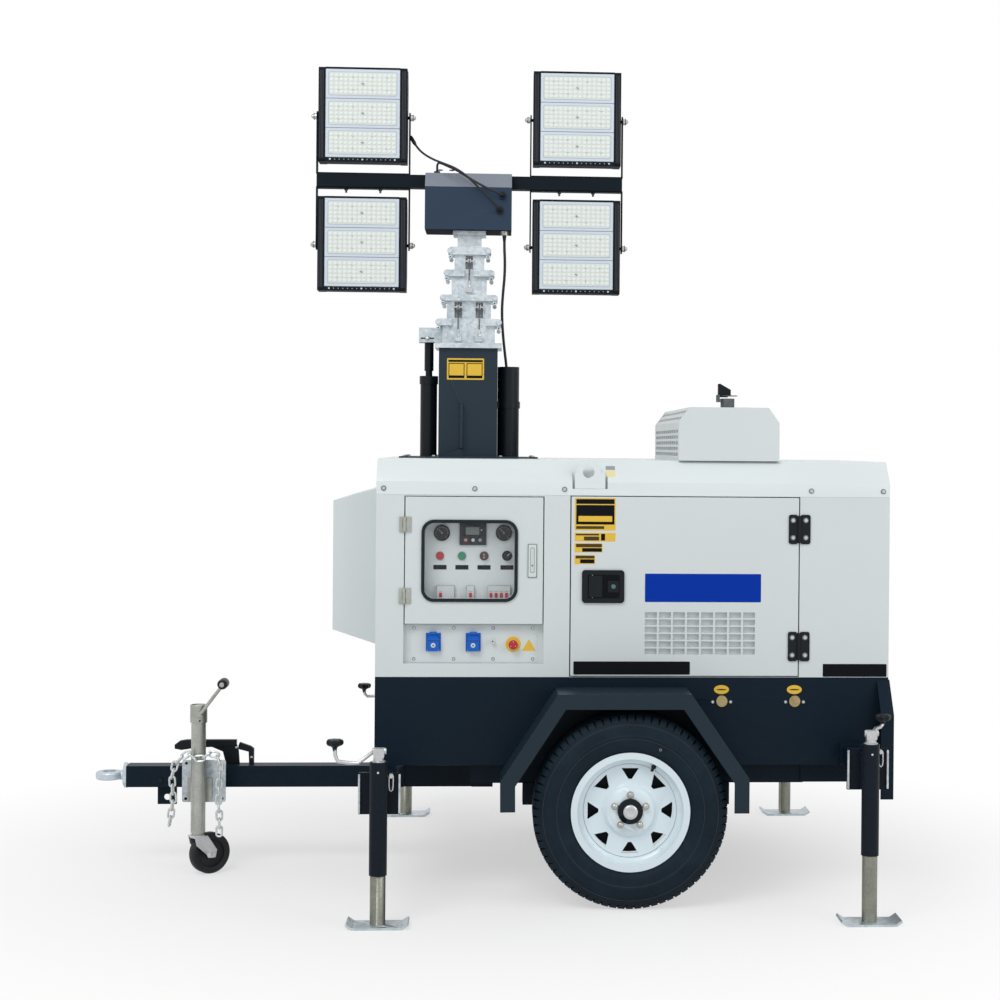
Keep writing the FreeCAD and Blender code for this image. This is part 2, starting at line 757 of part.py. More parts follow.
def chassis_frame():
    """Rails and cross members under the base, with the front sleeve and drawbar saddles."""
    rails = []
    for side in (1, -1):
        y = side * spring_y
        rails.append(box((rail_front, rail_rear), (y - rail_width / 2, y + rail_width / 2),
                         (rail_low, base_low)))
    span = (-spring_y, spring_y)
    rails.append(box((rail_front, rail_front + 80), span, (rail_low, base_low)))
    rails.append(box((rail_rear - 60, rail_rear), span, (rail_low, base_low)))
    bar_top = bar_low + bar_size
    for side in (1, -1):
        y = (bar_size / 2, bar_size / 2 + plate_thick)
        if side == -1:
            y = (-y[1], -y[0])
        rails.append(box((rail_front, rail_front + 80), y, (bar_low, rail_low)))
    rails.append(box((rail_front, rail_front + 80), (-bar_size / 2, bar_size / 2),
                     (bar_top, rail_low)))
    for side in (1, -1):
        for x in (-spring_reach, spring_reach):
            y = side * spring_y
            hanger = box((x - 22, x + 22), (y - hanger_half, y + hanger_half),
                         (eye_z - 22, rail_low))
            throat = spring_width / 2 + seat_gap
            hanger = hanger.cut(box((x - 22, x + 22), (y - throat, y + throat),
                                    (eye_z - 22, eye_z + 40)))
            rails.append(hanger)
    frame = fuse(rails[0], *rails[1:])

    half = sleeve_size / 2
    sleeve = box((front_jack_x - half, front_jack_x + half), (-body_half, body_half),
                 (front_arm_z - half, front_arm_z + half))
    saddles = []
    for side in (1, -1):
        y = (bar_size / 2, bar_size / 2 + plate_thick)
        if side == -1:
            y = (-y[1], -y[0])
        saddles.append(box((front_jack_x - half, front_jack_x + half), y,
                           (bar_low, front_arm_z - half)))
    saddles.append(box((front_jack_x - half, front_jack_x + half),
                       (-bar_size / 2, bar_size / 2), (bar_top, front_arm_z - half)))
    bore = arm_size / 2 + run_gap
    cut = box((front_jack_x - bore, front_jack_x + bore), (-body_half, body_half),
              (front_arm_z - bore, front_arm_z + bore))
    return Part.makeCompound([frame, fuse(sleeve, *saddles).cut(cut)])


def drawbar():
    """Square tube with the jockey mount and the chain plate, and the brake lever on top."""
    half = bar_size / 2
    top = bar_low + bar_size
    tube = box((bar_front, bar_rear), (-half, half), (bar_low, top))
    tube = tube.cut(box((bar_front + 6, bar_rear), (-half + bar_wall, half - bar_wall),
                        (bar_low + bar_wall, top - bar_wall)))
    thick = chain_plate_thick / 2
    chain_plate = box((chain_hole_x - chain_plate_half, chain_hole_x + chain_plate_half),
                      (-thick, thick), (bar_low - chain_plate_drop, bar_low))
    hole = rod(ALONG_Y, chain_hole_radius, (chain_hole_x, -thick, chain_hole_z), 2 * thick)
    tube = fuse(tube, chain_plate.cut(hole))

    mount = box((jockey_x - 73, jockey_x + 73), (-half - 8 - seat_gap, -half - seat_gap),
                (jockey_pivot_z - 60, jockey_pivot_z + 60))
    stub = rod(-ALONG_Y, 30, (jockey_x, -half - seat_gap, jockey_pivot_z),
               jockey_y - jockey_radius - 16 - half)
    mount = fuse(mount, stub)

    low = top + seat_gap
    rising = [(lever_x + run, top + rise) for run, rise in lever_outline]
    lever = prism_xz([(lever_x, low)] + rising + [(lever_x - 50, low)], 8, 30)
    return Part.makeCompound([tube, mount, lever])


def tow_eye():
    """Ring welded to a shank on a six-sided flange."""
    centre_z = bar_low + bar_size / 2
    ring = rod(ALONG_Z, eye_radius, (eye_x, 0, centre_z - eye_thick / 2), eye_thick)
    ring = ring.makeFillet(9, [e for e in ring.Edges if e.Closed])
    shank_start = eye_x + eye_radius - 12
    shank = rod(ALONG_X, eye_shank, (shank_start, 0, centre_z),
                bar_front - eye_flange_thick - shank_start)
    corner = eye_flange_across / 2 / math.cos(math.pi / 6)
    hexagon = [(corner * math.cos(math.pi / 3 * i), corner * math.sin(math.pi / 3 * i))
               for i in range(6)]
    flange = prism_yz([(y * 0.9, centre_z + z) for z, y in hexagon],
                      bar_front - eye_flange_thick, bar_front)
    eye = fuse(ring, shank, flange)
    return eye.cut(rod(ALONG_Z, eye_bore, (eye_x, 0, centre_z - eye_thick), 2 * eye_thick))


def leaf_band(low_at_middle, low_at_end, reach):
    """One leaf as an arc between its ends."""
    lower = [V(-reach, 0, low_at_end), V(0, 0, low_at_middle), V(reach, 0, low_at_end)]
    upper = [p + V(0, 0, spring_leaf) for p in lower]
    edges = [Part.Arc(*lower).toShape(), Part.LineSegment(lower[2], upper[2]).toShape(),
             Part.Arc(*reversed(upper)).toShape(), Part.LineSegment(upper[0], lower[0]).toShape()]
    face = Part.Face(Part.Wire(edges))
    return face.extrude(V(0, spring_width, 0))


def axle():
    """Beam with two leaf springs under it and a spindle at each end."""
    half = axle_tube / 2
    beam = box((-half, half), (-axle_half, axle_half), (wheel_radius - half, wheel_radius + half))
    parts = [beam]
    low = wheel_radius - half - spring_leaf
    for side in (1, -1):
        parts.append(rod(ALONG_Y * side, spindle_radius, (0, side * axle_half, wheel_radius),
                         disc_out + 6 - axle_half))
        start = side * spring_y - spring_width / 2
        main = leaf_band(low, eye_z - eye_out, spring_reach)
        second = leaf_band(low - spring_leaf, low - spring_leaf + 14, spring_reach * 0.55)
        eyes = [rod(ALONG_Y, eye_out, (x, 0, eye_z), spring_width)
                for x in (-spring_reach, spring_reach)]
        pad = box((-55, 55), (-6, spring_width + 6),
                  (low - spring_leaf - 10, low - spring_leaf + 2))
        spring = fuse(main, second, pad, *eyes)
        spring.translate(V(0, start, 0))
        parts.append(spring)
    return fuse(parts[0], *parts[1:])


def fender():
    """One mudguard: a folded strip with a deep outer lip."""
    def band(depth, y_low, y_high):
        inner = offset_path(fender_path, depth)
        return prism_xz(fender_path + list(reversed(inner)), y_low, y_high)
    strip = band(sheet, body_half + seat_gap, fender_out)
    lip = band(fender_lip, fender_out - sheet, fender_out)
    return fuse(strip, lip)


def rear_board():
    """Light board behind the body with wings, folded lips and tail lamps."""
    y_wing, z_wing = board_corner
    outline = [(-y_wing, board_low), (y_wing, board_low), (y_wing, z_wing),
               (body_half, board_top), (-body_half, board_top), (-y_wing, z_wing)]
    plate = prism_yz(outline, board_x, board_x + board_thick)
    lips = []
    for side in (1, -1):
        lip_y = (y_wing - sheet, y_wing)
        lip = box((board_x - board_lip, board_x), lip_y, (board_low, z_wing))
        slope = prism_yz([(y_wing, z_wing), (body_half + 1, board_top - 1),
                          (body_half + 1, board_top - 7), (y_wing - sheet, z_wing - 3)],
                         board_x - board_lip, board_x)
        if side == -1:
            lip, slope = near(lip), near(slope)
        lips += [lip, slope]
    board = fuse(plate, *lips)
    solids = [board]
    for side in (1, -1):
        lamp = box((board_x + board_thick + seat_gap, rear_end_x), (430, 640), (430, 530))
        solids.append(lamp if side == 1 else near(lamp))
    return Part.makeCompound(solids)


def tyre():
    """Solid of the tyre's section, turned round the axle."""
    widest = (rim_radius + wheel_radius) / 2
    shoulder = wheel_radius - 24
    edge = wheel_radius - 6
    section = [(rim_radius + 1, tyre_in + 22), (widest, tyre_in), (shoulder, tyre_in + 9),
               (edge, tyre_in + 28), (wheel_radius, tyre_in + 52),
               (wheel_radius, tyre_out - 52), (edge, tyre_out - 28), (shoulder, tyre_out - 9),
               (widest, tyre_out), (rim_flange_radius + 8, tyre_out - 10),
               (rim_flange_radius + 1, tyre_out - 20), (rim_radius + 1, tyre_out - 22)]
    face = face_of([(r, y, 0) for r, y in section])
    turned = face.revolve(V(0, 0, 0), ALONG_Y, 360)
    turned.translate(V(0, 0, wheel_radius))
    return turned


def rim():
    """Steel disc wheel with a raised hat, triangular windows, hub and nuts."""
    low = tyre_in + 18
    high = tyre_out - 18
    barrel = [(rim_radius, low), (rim_radius, high - 1), (rim_flange_radius, high - 1),
              (rim_flange_radius, high + 4), (rim_radius - 6, high + 4), (rim_radius - 6, low)]
    disc_in = disc_out - disc_thick
    profile = [(rim_radius - 4, high - 30), (rim_radius - 30, disc_in - 16),
               (hat_radius + 12, disc_in - 16), (hat_radius, disc_in), (hub_radius, disc_in),
               (hub_radius, disc_out), (hat_radius + 6, disc_out), (hat_radius + 18, disc_out - 16),
               (rim_radius - 26, disc_out - 16), (rim_radius - 4, high - 18)]
    rings = [face_of([(r, y, 0) for r, y in shape]).revolve(V(0, 0, 0), ALONG_Y, 360)
             for shape in (barrel, profile)]
    hub = pipe(ALONG_Y, hub_radius + 1, spindle_radius + run_gap, (0, low + 20, 0),
               disc_out + 8 - low - 20)
    wheel = fuse(rings[0], rings[1], hub)
    windows = []
    for i in range(window_count):
        angle = 360.0 / window_count * i
        base = window_radius + window_height / 2
        tip = window_radius - window_height / 2
        outline = [(-window_base / 2, base), (window_base / 2, base), (6, tip), (-6, tip)]
        cut = prism_xz(outline, low, high)
        cut.rotate(V(0, 0, 0), ALONG_Y, angle)
        windows.append(cut)
    wheel = wheel.cut(Part.makeCompound(windows))
    nuts = []
    for i in range(nut_count):
        angle = 2 * math.pi * i / nut_count + math.pi / 2
        spot = (nut_circle * math.cos(angle), disc_out - 1, nut_circle * math.sin(angle))
        nuts.append(rod(ALONG_Y, 10, spot, 14))
    cap = rod(ALONG_Y, spindle_radius + 3, (0, disc_out + 8 - 0.5, 0), 12)
    wheel = fuse(wheel, cap, *nuts)
    wheel.translate(V(0, 0, wheel_radius))
    return wheel


def outrigger(end):
    """Square arm with the swivel plate and its stub at the outer end."""
    x, z = jacks[end][0], jacks[end][1]
    half = arm_size / 2
    plate_y = jack_y - jack_radius - 30
    arm = box((x - half, x + half), (arm_tail, plate_y - plate_thick), (z - half, z + half))
    wide = swivel_plate / 2
    plate = box((x - wide, x + wide), (plate_y - plate_thick, plate_y), (z - wide, z + wide))
    stub = rod(ALONG_Y, swivel_radius, (x, plate_y, z), plate_thick + 12)
    return fuse(arm, plate, stub)


def jack_tube(end):
    """Outer tube with its swivel bracket, gearhead, crank and knob."""
    x, z, low, top, _ = jacks[end]
    tube = pipe(ALONG_Z, jack_radius, leg_radius + run_gap, (x, jack_y, low), top - low)
    lid = rod(ALONG_Z, jack_radius, (x, jack_y, top - 6), 6)
    plate_y = jack_y - jack_radius - 30 + run_gap
    wide = swivel_plate / 2
    plate = box((x - wide, x + wide), (plate_y, plate_y + plate_thick), (z - wide, z + wide))
    gussets = []
    for side in (1, -1):
        edge = side * (jack_radius - 6)
        gussets.append(box((x + edge - 5, x + edge + 5), (plate_y + plate_thick, jack_y - 16),
                           (z - wide + 10, z + wide - 10)))
    bracket = fuse(plate, *gussets)
    bracket = bracket.cut(rod(ALONG_Y, swivel_radius + run_gap, (x, plate_y - 5, z), 40))
    bracket = bracket.cut(rod(ALONG_Z, jack_radius - 1, (x, jack_y, low), top - low))
    tube = fuse(tube, lid, bracket)

    head_low = top + seat_gap
    gear = rod(ALONG_Z, jack_radius + 2, (x, jack_y, head_low), jack_head)
    if end == "front":
        crank = [(x, jack_y, top + 38), (x - 98, jack_y, top + 8), (x - 140, jack_y, top + 42)]
        knob_foot = (x - 148, jack_y, top + 44)
    else:
        crank = [(x, jack_y, top + 34), (x + 30, jack_y - 105, top + 34),
                 (x + 44, jack_y - 138, top + 62)]
        knob_foot = (x + 44, jack_y - 138, top + 64)
    gear = fuse(gear, bent_rod(7, crank))
    knob = rod(ALONG_Z, 14, knob_foot, 30).cut(rod(ALONG_Z, 8, knob_foot, 12))
    knob = knob.cut(gear)
    return Part.makeCompound([tube, gear, knob])


def jack_leg(end):
    """Inner tube on its turned-up foot plate."""
    x, z, low, top, _ = jacks[end]
    leg_top = leg_top_heights[end]
    leg = rod(ALONG_Z, leg_radius, (x, jack_y, foot_thick / 2), leg_top - foot_thick / 2)
    leg = leg.cut(rod(ALONG_Z, leg_radius - 4, (x, jack_y, foot_thick), leg_top))
    half = foot_length / 2
    width = (jack_y - foot_width / 2, jack_y + foot_width / 2)
    outline = [(x - half + 22, 0), (x + half - 22, 0), (x + half, 14), (x + half - 4, 14 + foot_thick),
               (x + half - 25, foot_thick), (x - half + 25, foot_thick),
               (x - half + 4, 14 + foot_thick), (x - half, 14)]
    return fuse(leg, prism_xz(outline, *width))


def mast_tube():
    """Outer mast tube with its top guide flange, roof plate and grab handle."""
    bottom = base_low + base_floor
    tube = square(mast_size, bottom, mast_top + mast_flange_thick)
    tube = tube.cut(square(mast_size - 2 * mast_wall, bottom, mast_top))
    flange = square(mast_flange, mast_top, mast_top + mast_flange_thick)
    plate = box((roof_plate_front, roof_plate_rear), (-roof_plate_half, roof_plate_half),
                (roof_top, roof_top + roof_plate_thick))
    plate = plate.cut(square(mast_size - 2 * mast_wall, roof_top, roof_top + roof_plate_thick))
    plate = plate.cut(rod(ALONG_Z, lift_radius + run_gap, (lift_x, 0, roof_top), 20))
    mast = fuse(tube, flange, plate)
    guide = sections[0][0] + 2 * run_gap
    mast = mast.cut(square(guide, mast_top, mast_top + mast_flange_thick))
    face = -mast_size / 2
    x, low, high, stand = grab_handle
    handle = bent_rod(6, [(x, face + 3, high), (x, face - stand, high), (x, face - stand, low),
                          (x, face + 3, low)])
    return fuse(mast, handle)


def mast_section(number):
    """One telescopic section: tube, foot guide ring and collar for the next section."""
    width, collar_low, collar_top, collar_width = sections[number]
    if number == 0:
        around = mast_size
    else:
        around = sections[number - 1][0]
    foot = base_low + base_floor + foot_step * (number + 1)
    tube = square(width, foot, collar_top)
    ring = square(around - 2 * mast_wall - 2 * run_gap, foot, foot + guide_height)
    collar = square(collar_width, collar_low, collar_top)
    body = fuse(tube, ring, collar)
    hollow = square(width - 2 * mast_wall, foot, collar_low)
    body = body.cut(hollow)
    if number < len(sections) - 1:
        guide = sections[number + 1][0] + 2 * run_gap
        body = body.cut(square(guide, collar_low, collar_top))
    face = -width / 2
    for section, gap in collar_gaps:
        if section == number:
            body = body.cut(box((mast_x - gap / 2, mast_x + gap / 2),
                                (-collar_width / 2, face), (collar_low, collar_top)))
    for carrier, anchored, offset, low, high, anchor_z in rope_runs:
        x = mast_x + offset
        if carrier == number:
            body = body.cut(box((x - window_half, x + window_half),
                                (face, face + mast_wall), (low, high)))
            body = fuse(body, sheave(number, anchored, x, high - sheave_radius - 6))
        if anchored == number:
            half_w, half_h, depth = anchor_size
            block = box((x - half_w, x + half_w), (face - depth, face),
                        (anchor_z - half_h, anchor_z + half_h))
            body = fuse(body, block)
    return body


def sheave(number, anchored, x, z):
    """Grooved rope wheel on its pin, its rope clear of the section that holds the anchor."""
    inside = sections[number + 1][0] / 2 + sheave_radius + 1
    outside = sections[anchored][0] / 2 + rope_clear - sheave_groove
    y = -max(inside, outside)
    start = x - sheave_half
    groove = 2.0
    wheel = rod(ALONG_X, sheave_groove, (start, y, z), 2 * sheave_half)
    rims = [rod(ALONG_X, sheave_radius, (edge, y, z), groove)
            for edge in (start, x + sheave_half - groove)]
    pin = rod(ALONG_X, 4, (x - window_half - 3, y, z), 2 * window_half + 6)
    face = -sections[number][0] / 2
    cheeks = []
    for side in (-1, 1):
        inner = x + side * window_half
        outer = inner + side * 3
        cheeks.append(box((min(inner, outer), max(inner, outer)), (y - 7, face + 1),
                          (z - 9, z + 9)))
    return fuse(wheel, pin, *rims, *cheeks)


def lift_rod():
    """Lift cylinder's rod and the bracket that pushes the first section."""
    half = sections[0][0] / 2
    left = mast_x - half
    low, high = 2001.0, 2057.0
    piston = rod(ALONG_Z, lift_bore - 0.5, (lift_x, 0, 600), 40)
    stem = rod(ALONG_Z, lift_rod_radius, (lift_x, 0, 640), low - 640)
    nose = rod(ALONG_Z, 17.5, (lift_x, 0, lift_top + 20), low - lift_top - 20)
    shelf = box((lift_x - 38, left), (-36, 36), (low, low + 10))
    ribs = [prism_xz([(lift_x - 30, low + 10), (left, low + 10), (left, high), (left - 18, high)],
                     y - 4, y + 4) for y in (-32, 32)]
    back = box((left - 8, left), (-36, 36), (low, high))
    return fuse(piston, stem, nose, shelf, back, *ribs)


def first_section():
    return fuse(mast_section(0), lift_rod())


def lift_cylinder():
    """Hydraulic cylinder beside the mast, standing on the base floor."""
    bottom = base_low + base_floor
    body = rod(ALONG_Z, lift_radius, (lift_x, 0, bottom), lift_top - bottom)
    gland = rod(ALONG_Z, 35.5, (lift_x, 0, lift_top - 31), 31)
    body = fuse(body, gland)
    body = body.cut(rod(ALONG_Z, lift_bore, (lift_x, 0, bottom + 20), lift_top - 31 - bottom - 20))
    return body.cut(rod(ALONG_Z, lift_rod_radius + run_gap, (lift_x, 0, lift_top - 40), 50))


def cable_tube():
    """Upright tube that takes the mast cable, clamped to the mast."""
    low = roof_top + roof_plate_thick
    tube = pipe(ALONG_Z, cable_tube_radius, cable_tube_radius - 4, (cable_tube_x, 0, low),
                cable_tube_top - low)
    face = mast_x + mast_size / 2
    clamp_z = 1752.0
    clamp = pipe(ALONG_Z, cable_tube_radius + 4, cable_tube_radius, (cable_tube_x, 0, clamp_z), 26)
    clamp = clamp.cut(box((face - 50, face), (-60, 60), (clamp_z, clamp_z + 26)))
    tab = box((face, face + 6), (-60, 60), (clamp_z, clamp_z + 26))
    tab = tab.cut(rod(ALONG_Z, cable_tube_radius, (cable_tube_x, 0, clamp_z), 26))
    return fuse(tube, clamp, tab)


def head_box():
    """Sheet box on the last section, with cable glands in its face and floor."""
    def outline(inset):
        return [(-head_half + inset, head_low + inset), (-head_half + inset, head_face_top),
                (-head_half + 42, head_top - inset), (head_half - 42, head_top - inset),
                (head_half - inset, head_face_top), (head_half - inset, head_low + inset)]
    shell = prism_yz(outline(0), head_front, head_rear)
    shell = shell.cut(prism_yz(outline(sheet), head_front + sheet, head_rear - sheet))
    half = lamp_bar_size / 2
    shell = shell.cut(box((head_front - 1, head_rear + 1), (-half, half),
                          (lamp_bar_low, lamp_bar_low + lamp_bar_size)))
    glands = []
    for x, z in lead_gland_spots:
        glands.append(rod(-ALONG_Y, 15, (x, -head_half, z), 8))
    glands.append(rod(-ALONG_Z, 14, (cable_gland_spot[0], cable_gland_spot[1], head_low), 16))
    glands.append(rod(ALONG_Z, 12, (top_gland_spot[0], top_gland_spot[1], head_top), 14))
    return fuse(shell, *glands)


def lamp_centres():
    """Name, x and pivot height of the four lamps."""
    upper = lamp_bar_low + lamp_bar_size + lamp_pivot_rise
    lower = lamp_bar_low - lamp_pivot_rise
    spots = []
    for side, x in (("left", mast_x - lamp_spread), ("right", mast_x + lamp_spread)):
        spots.append(("lamp_upper_" + side, x, upper, 1))
        spots.append(("lamp_lower_" + side, x, lower, -1))
    return spots


def yoke(x, pivot_z, side):
    """Flat-bar yoke from the lamp bar to the lamp's pivots."""
    inner = lamp_width / 2 + yoke_play
    half = yoke_width / 2
    base_z = lamp_bar_low + lamp_bar_size if side == 1 else lamp_bar_low - yoke_thick
    base = box((x - inner - yoke_thick, x + inner + yoke_thick), (-half, half),
               (base_z, base_z + yoke_thick))
    arms = []
    for edge in (-1, 1):
        start = x + edge * inner
        span = (min(start, start + edge * yoke_thick), max(start, start + edge * yoke_thick))
        z = (min(base_z, pivot_z), max(base_z + yoke_thick, pivot_z))
        arm = box(span, (-half, half), z)
        tip = rod(ALONG_X, half, (span[0], 0, pivot_z), yoke_thick)
        arm = fuse(arm, tip)
        arms.append(arm.cut(rod(ALONG_X, pin_radius + run_gap, (span[0], 0, pivot_z), yoke_thick)))
    return fuse(base, *arms)


def lamp_bar():
    half = lamp_bar_size / 2
    bar = box((mast_x - lamp_bar_reach, mast_x + lamp_bar_reach), (-half, half),
              (lamp_bar_low, lamp_bar_low + lamp_bar_size))
    bar = bar.cut(box((mast_x - lamp_bar_reach + 3, mast_x + lamp_bar_reach - 3),
                      (-half + 3, half - 3),
                      (lamp_bar_low + 3, lamp_bar_low + lamp_bar_size - 3)))
    yokes = [yoke(x, z, side) for _, x, z, side in lamp_centres()]
    clip = rod(V(*lead_clip_along), lead_clip_radius, lead_clip_start, lead_clip_length)
    return fuse(bar, clip, *yokes)


def lamp(x, pivot_z):
    """Modular floodlight: two cheeks, three finned modules with their lens plates."""
    half_w = lamp_width / 2
    half_h = lamp_height / 2
    face = -lamp_face_y
    outline = [(face, -half_h + 6), (face + 6, -half_h), (lamp_back_y - 20, -half_h),
               (lamp_back_y, -half_h + 60), (lamp_back_y, half_h - 60),
               (lamp_back_y - 20, half_h), (face + 6, half_h), (face, half_h - 6)]
    cheeks = [prism_yz(outline, -half_w, -half_w + cheek),
              prism_yz(outline, half_w - cheek, half_w)]
    pins = []
    for edge in (-1, 1):
        reach = yoke_play + yoke_thick + 1
        pins.append(rod(ALONG_X * edge, pin_radius, (edge * half_w, 0, 0), reach + 6))
        pins.append(rod(ALONG_X * edge, 12, (edge * (half_w + reach), 0, 0), 8))
    inner = half_w - cheek
    lenses = []
    bodies = [box((-inner, inner), (face + 4, lamp_back_y - 30), (-half_h, -half_h + lamp_rail_low)),
              box((-inner, inner), (face + 4, lamp_back_y - 30), (half_h - lamp_rail_top, half_h))]
    for i in range(module_count):
        low = -half_h + lamp_rail_low + 0.6 + i * module_pitch
        bodies.append(box((-inner, inner), (face + 7, face + 40), (low, low + module_height)))
        lenses.append(box((-inner + seat_gap, inner - seat_gap),
                          (face + 1, face + 7 - seat_gap), (low, low + module_height)))
        for fin in range(fin_count):
            z = low + 4 + fin * (module_height - 11) / (fin_count - 1)
            bodies.append(box((-inner, inner), (face + 39, lamp_back_y - 12), (z, z + 3)))
    frame = fuse(cheeks[0], cheeks[1], *bodies, *pins)
    solids = [frame] + lenses
    for solid in solids:
        solid.translate(V(x, 0, pivot_z))
    return Part.makeCompound(solids)


def jockey_leg():
    """Outer tube with its swivel plate, winding head and handle."""
    y = -jockey_y
    tube = pipe(ALONG_Z, jockey_radius, jockey_stem_radius + run_gap, (jockey_x, y, jockey_low),
                jockey_top - jockey_low)
    lid = rod(ALONG_Z, jockey_radius, (jockey_x, y, jockey_top - 6), 6)
    inner_y = y + jockey_radius + 16
    plate = box((jockey_x - 45, jockey_x + 45), (inner_y - 10, inner_y - run_gap), (264, 354))
    block = box((jockey_x - 20, jockey_x + 20), (y + jockey_radius - 6, inner_y - 10), (270, 348))
    block = block.cut(rod(ALONG_Z, jockey_radius - 1, (jockey_x, y, 200), 200))
    screw = rod(ALONG_Z, 10, (jockey_x, y, jockey_top), 34)
    handle = bent_rod(8, [(jockey_x, y, jockey_top + 28), (jockey_x + 28, y, jockey_top + 30),
                          (jockey_x + 76, y, jockey_top + 62)])
    grip = rod(V(0.35, 0, 1), 13, (jockey_x + 76, y, jockey_top + 58), 30)
    return fuse(tube, lid, plate, block, screw, handle, grip)


def jockey_stem():
    """Inner tube that slides in the jockey leg."""
    return rod(ALONG_Z, jockey_stem_radius, (jockey_x, -jockey_y, 150), 330)


def castor(shape):
    """Turn a piece of the castor to its parked direction round the stem."""
    shape.rotate(V(jockey_x, -jockey_y, 0), ALONG_Z, castor_turn)
    return shape


def jockey_fork():
    x, y = jockey_x, -jockey_y
    crown = rod(ALONG_Z, 30, (x, y, 140), 10 - run_gap)
    half = jockey_wheel_width / 2 + 5
    cheeks = []
    for side in (1, -1):
        outline = [(x - 26, 146), (x + 26, 146), (x + castor_trail + 16, 90),
                   (x + castor_trail + 10, 62), (x + castor_trail - 12, 62), (x - 18, 112)]
        low = y + side * half if side == 1 else y - half - 4
        cheeks.append(prism_xz(outline, low, low + 4))
    bridge = box((x - 26, x + 26), (y - half - 4, y + half + 4), (140, 146))
    spin_room = rod(ALONG_Y, jockey_wheel_radius + 5,
                    (x + castor_trail, y - half, jockey_wheel_radius), 2 * half)
    top = fuse(crown, bridge, *cheeks).cut(spin_room)
    axle_pin = rod(ALONG_Y, 6, (x + castor_trail, y - half - 8, jockey_wheel_radius), 2 * half + 16)
    return castor(fuse(top, axle_pin))


def jockey_wheel():
    x, y = jockey_x + castor_trail, -jockey_y
    half = jockey_wheel_width / 2
    profile = [(6 + run_gap, -half), (20, -half), (20, -8), (52, -8), (52, -half + 3),
               (jockey_wheel_radius - 5, -half), (jockey_wheel_radius, -half + 6),
               (jockey_wheel_radius, half - 6), (jockey_wheel_radius - 5, half),
               (52, half - 3), (52, 8), (20, 8), (20, half), (6 + run_gap, half)]
    wheel = face_of([(r, t, 0) for r, t in profile]).revolve(V(0, 0, 0), ALONG_Y, 360)
    wheel.translate(V(x, y, jockey_wheel_radius))
    return castor(wheel)


def link(start, end, turned):
    """One chain link between two points of the route, as a rounded ring of square bar."""
    half = link_length / 2
    radius = link_width / 2

    def slot(grow, depth):
        middle = box((-half + radius, half - radius), (-radius + grow, radius - grow),
                     (-depth, depth))
        ends = [rod(ALONG_Z, radius - grow, (x, 0, -depth), 2 * depth)
                for x in (-half + radius, half - radius)]
        return fuse(middle, *ends)
    ring = slot(0, link_wire / 2).cut(slot(link_wire, link_wire))
    if turned:
        ring.rotate(V(0, 0, 0), ALONG_X, 90)
    slope = math.atan2(end[1] - start[1], end[0] - start[0])
    ring.rotate(V(0, 0, 0), ALONG_Y, -math.degrees(slope))
    ring.translate(V((start[0] + end[0]) / 2, chain_y, (start[1] + end[1]) / 2))
    return ring


def safety_chain():
    """Links between evenly spaced points of the route, every other one turned."""
    pitch = link_length - 2 * link_wire - link_play
    spots = [chain_route[0]]
    carry = pitch
    for a, b in zip(chain_route, chain_route[1:]):
        run = math.hypot(b[0] - a[0], b[1] - a[1])
        spot = carry
        while spot <= run:
            share = spot / run
            spots.append((a[0] + (b[0] - a[0]) * share, a[1] + (b[1] - a[1]) * share))
            spot += pitch
        carry = spot - run
    links = [link(start, end, count % 2 == 1)
             for count, (start, end) in enumerate(zip(spots, spots[1:]))]
    return Part.makeCompound(links)


def tube_along(points, diameter):
    """Tube of straight runs joined by tangent arcs, as large as the runs allow."""
    spots = [V(*p) for p in points]
    edges = []
    radii = []
    length = 0.0
    start = spots[0]
    for before, here, after in zip(spots, spots[1:], spots[2:]):
        come = (here - before)
        go = (after - here)
        setback = 0.45 * min(come.Length, go.Length)
        turn = come.getAngle(go)
        if turn < 0.002:
            continue
        come.normalize()
        go.normalize()
        radius = setback / math.tan(turn / 2)
        radii.append(radius)
        enter = here - come * setback
        leave = here + go * setback
        toward = (leave + enter) * 0.5 - here
        toward.normalize()
        depth = radius / math.cos(turn / 2) - radius
        edges.append(Part.LineSegment(start, enter).toShape())
        edges.append(Part.Arc(enter, here + toward * depth, leave).toShape())
        length += (enter - start).Length + radius * turn
        start = leave
    edges.append(Part.LineSegment(start, spots[-1]).toShape())
    length += (spots[-1] - start).Length
    path = Part.Wire(edges)
    circle = Part.Wire(Part.makeCircle(diameter / 2, spots[0], spots[1] - spots[0]))
    tube = path.makePipeShell([circle], True, True)
    expected = math.pi * diameter ** 2 / 4 * length
    print("cord length", round(length), "radii", [round(r) for r in radii],
          "volume ratio", round(tube.Volume / expected, 4))
    return tube


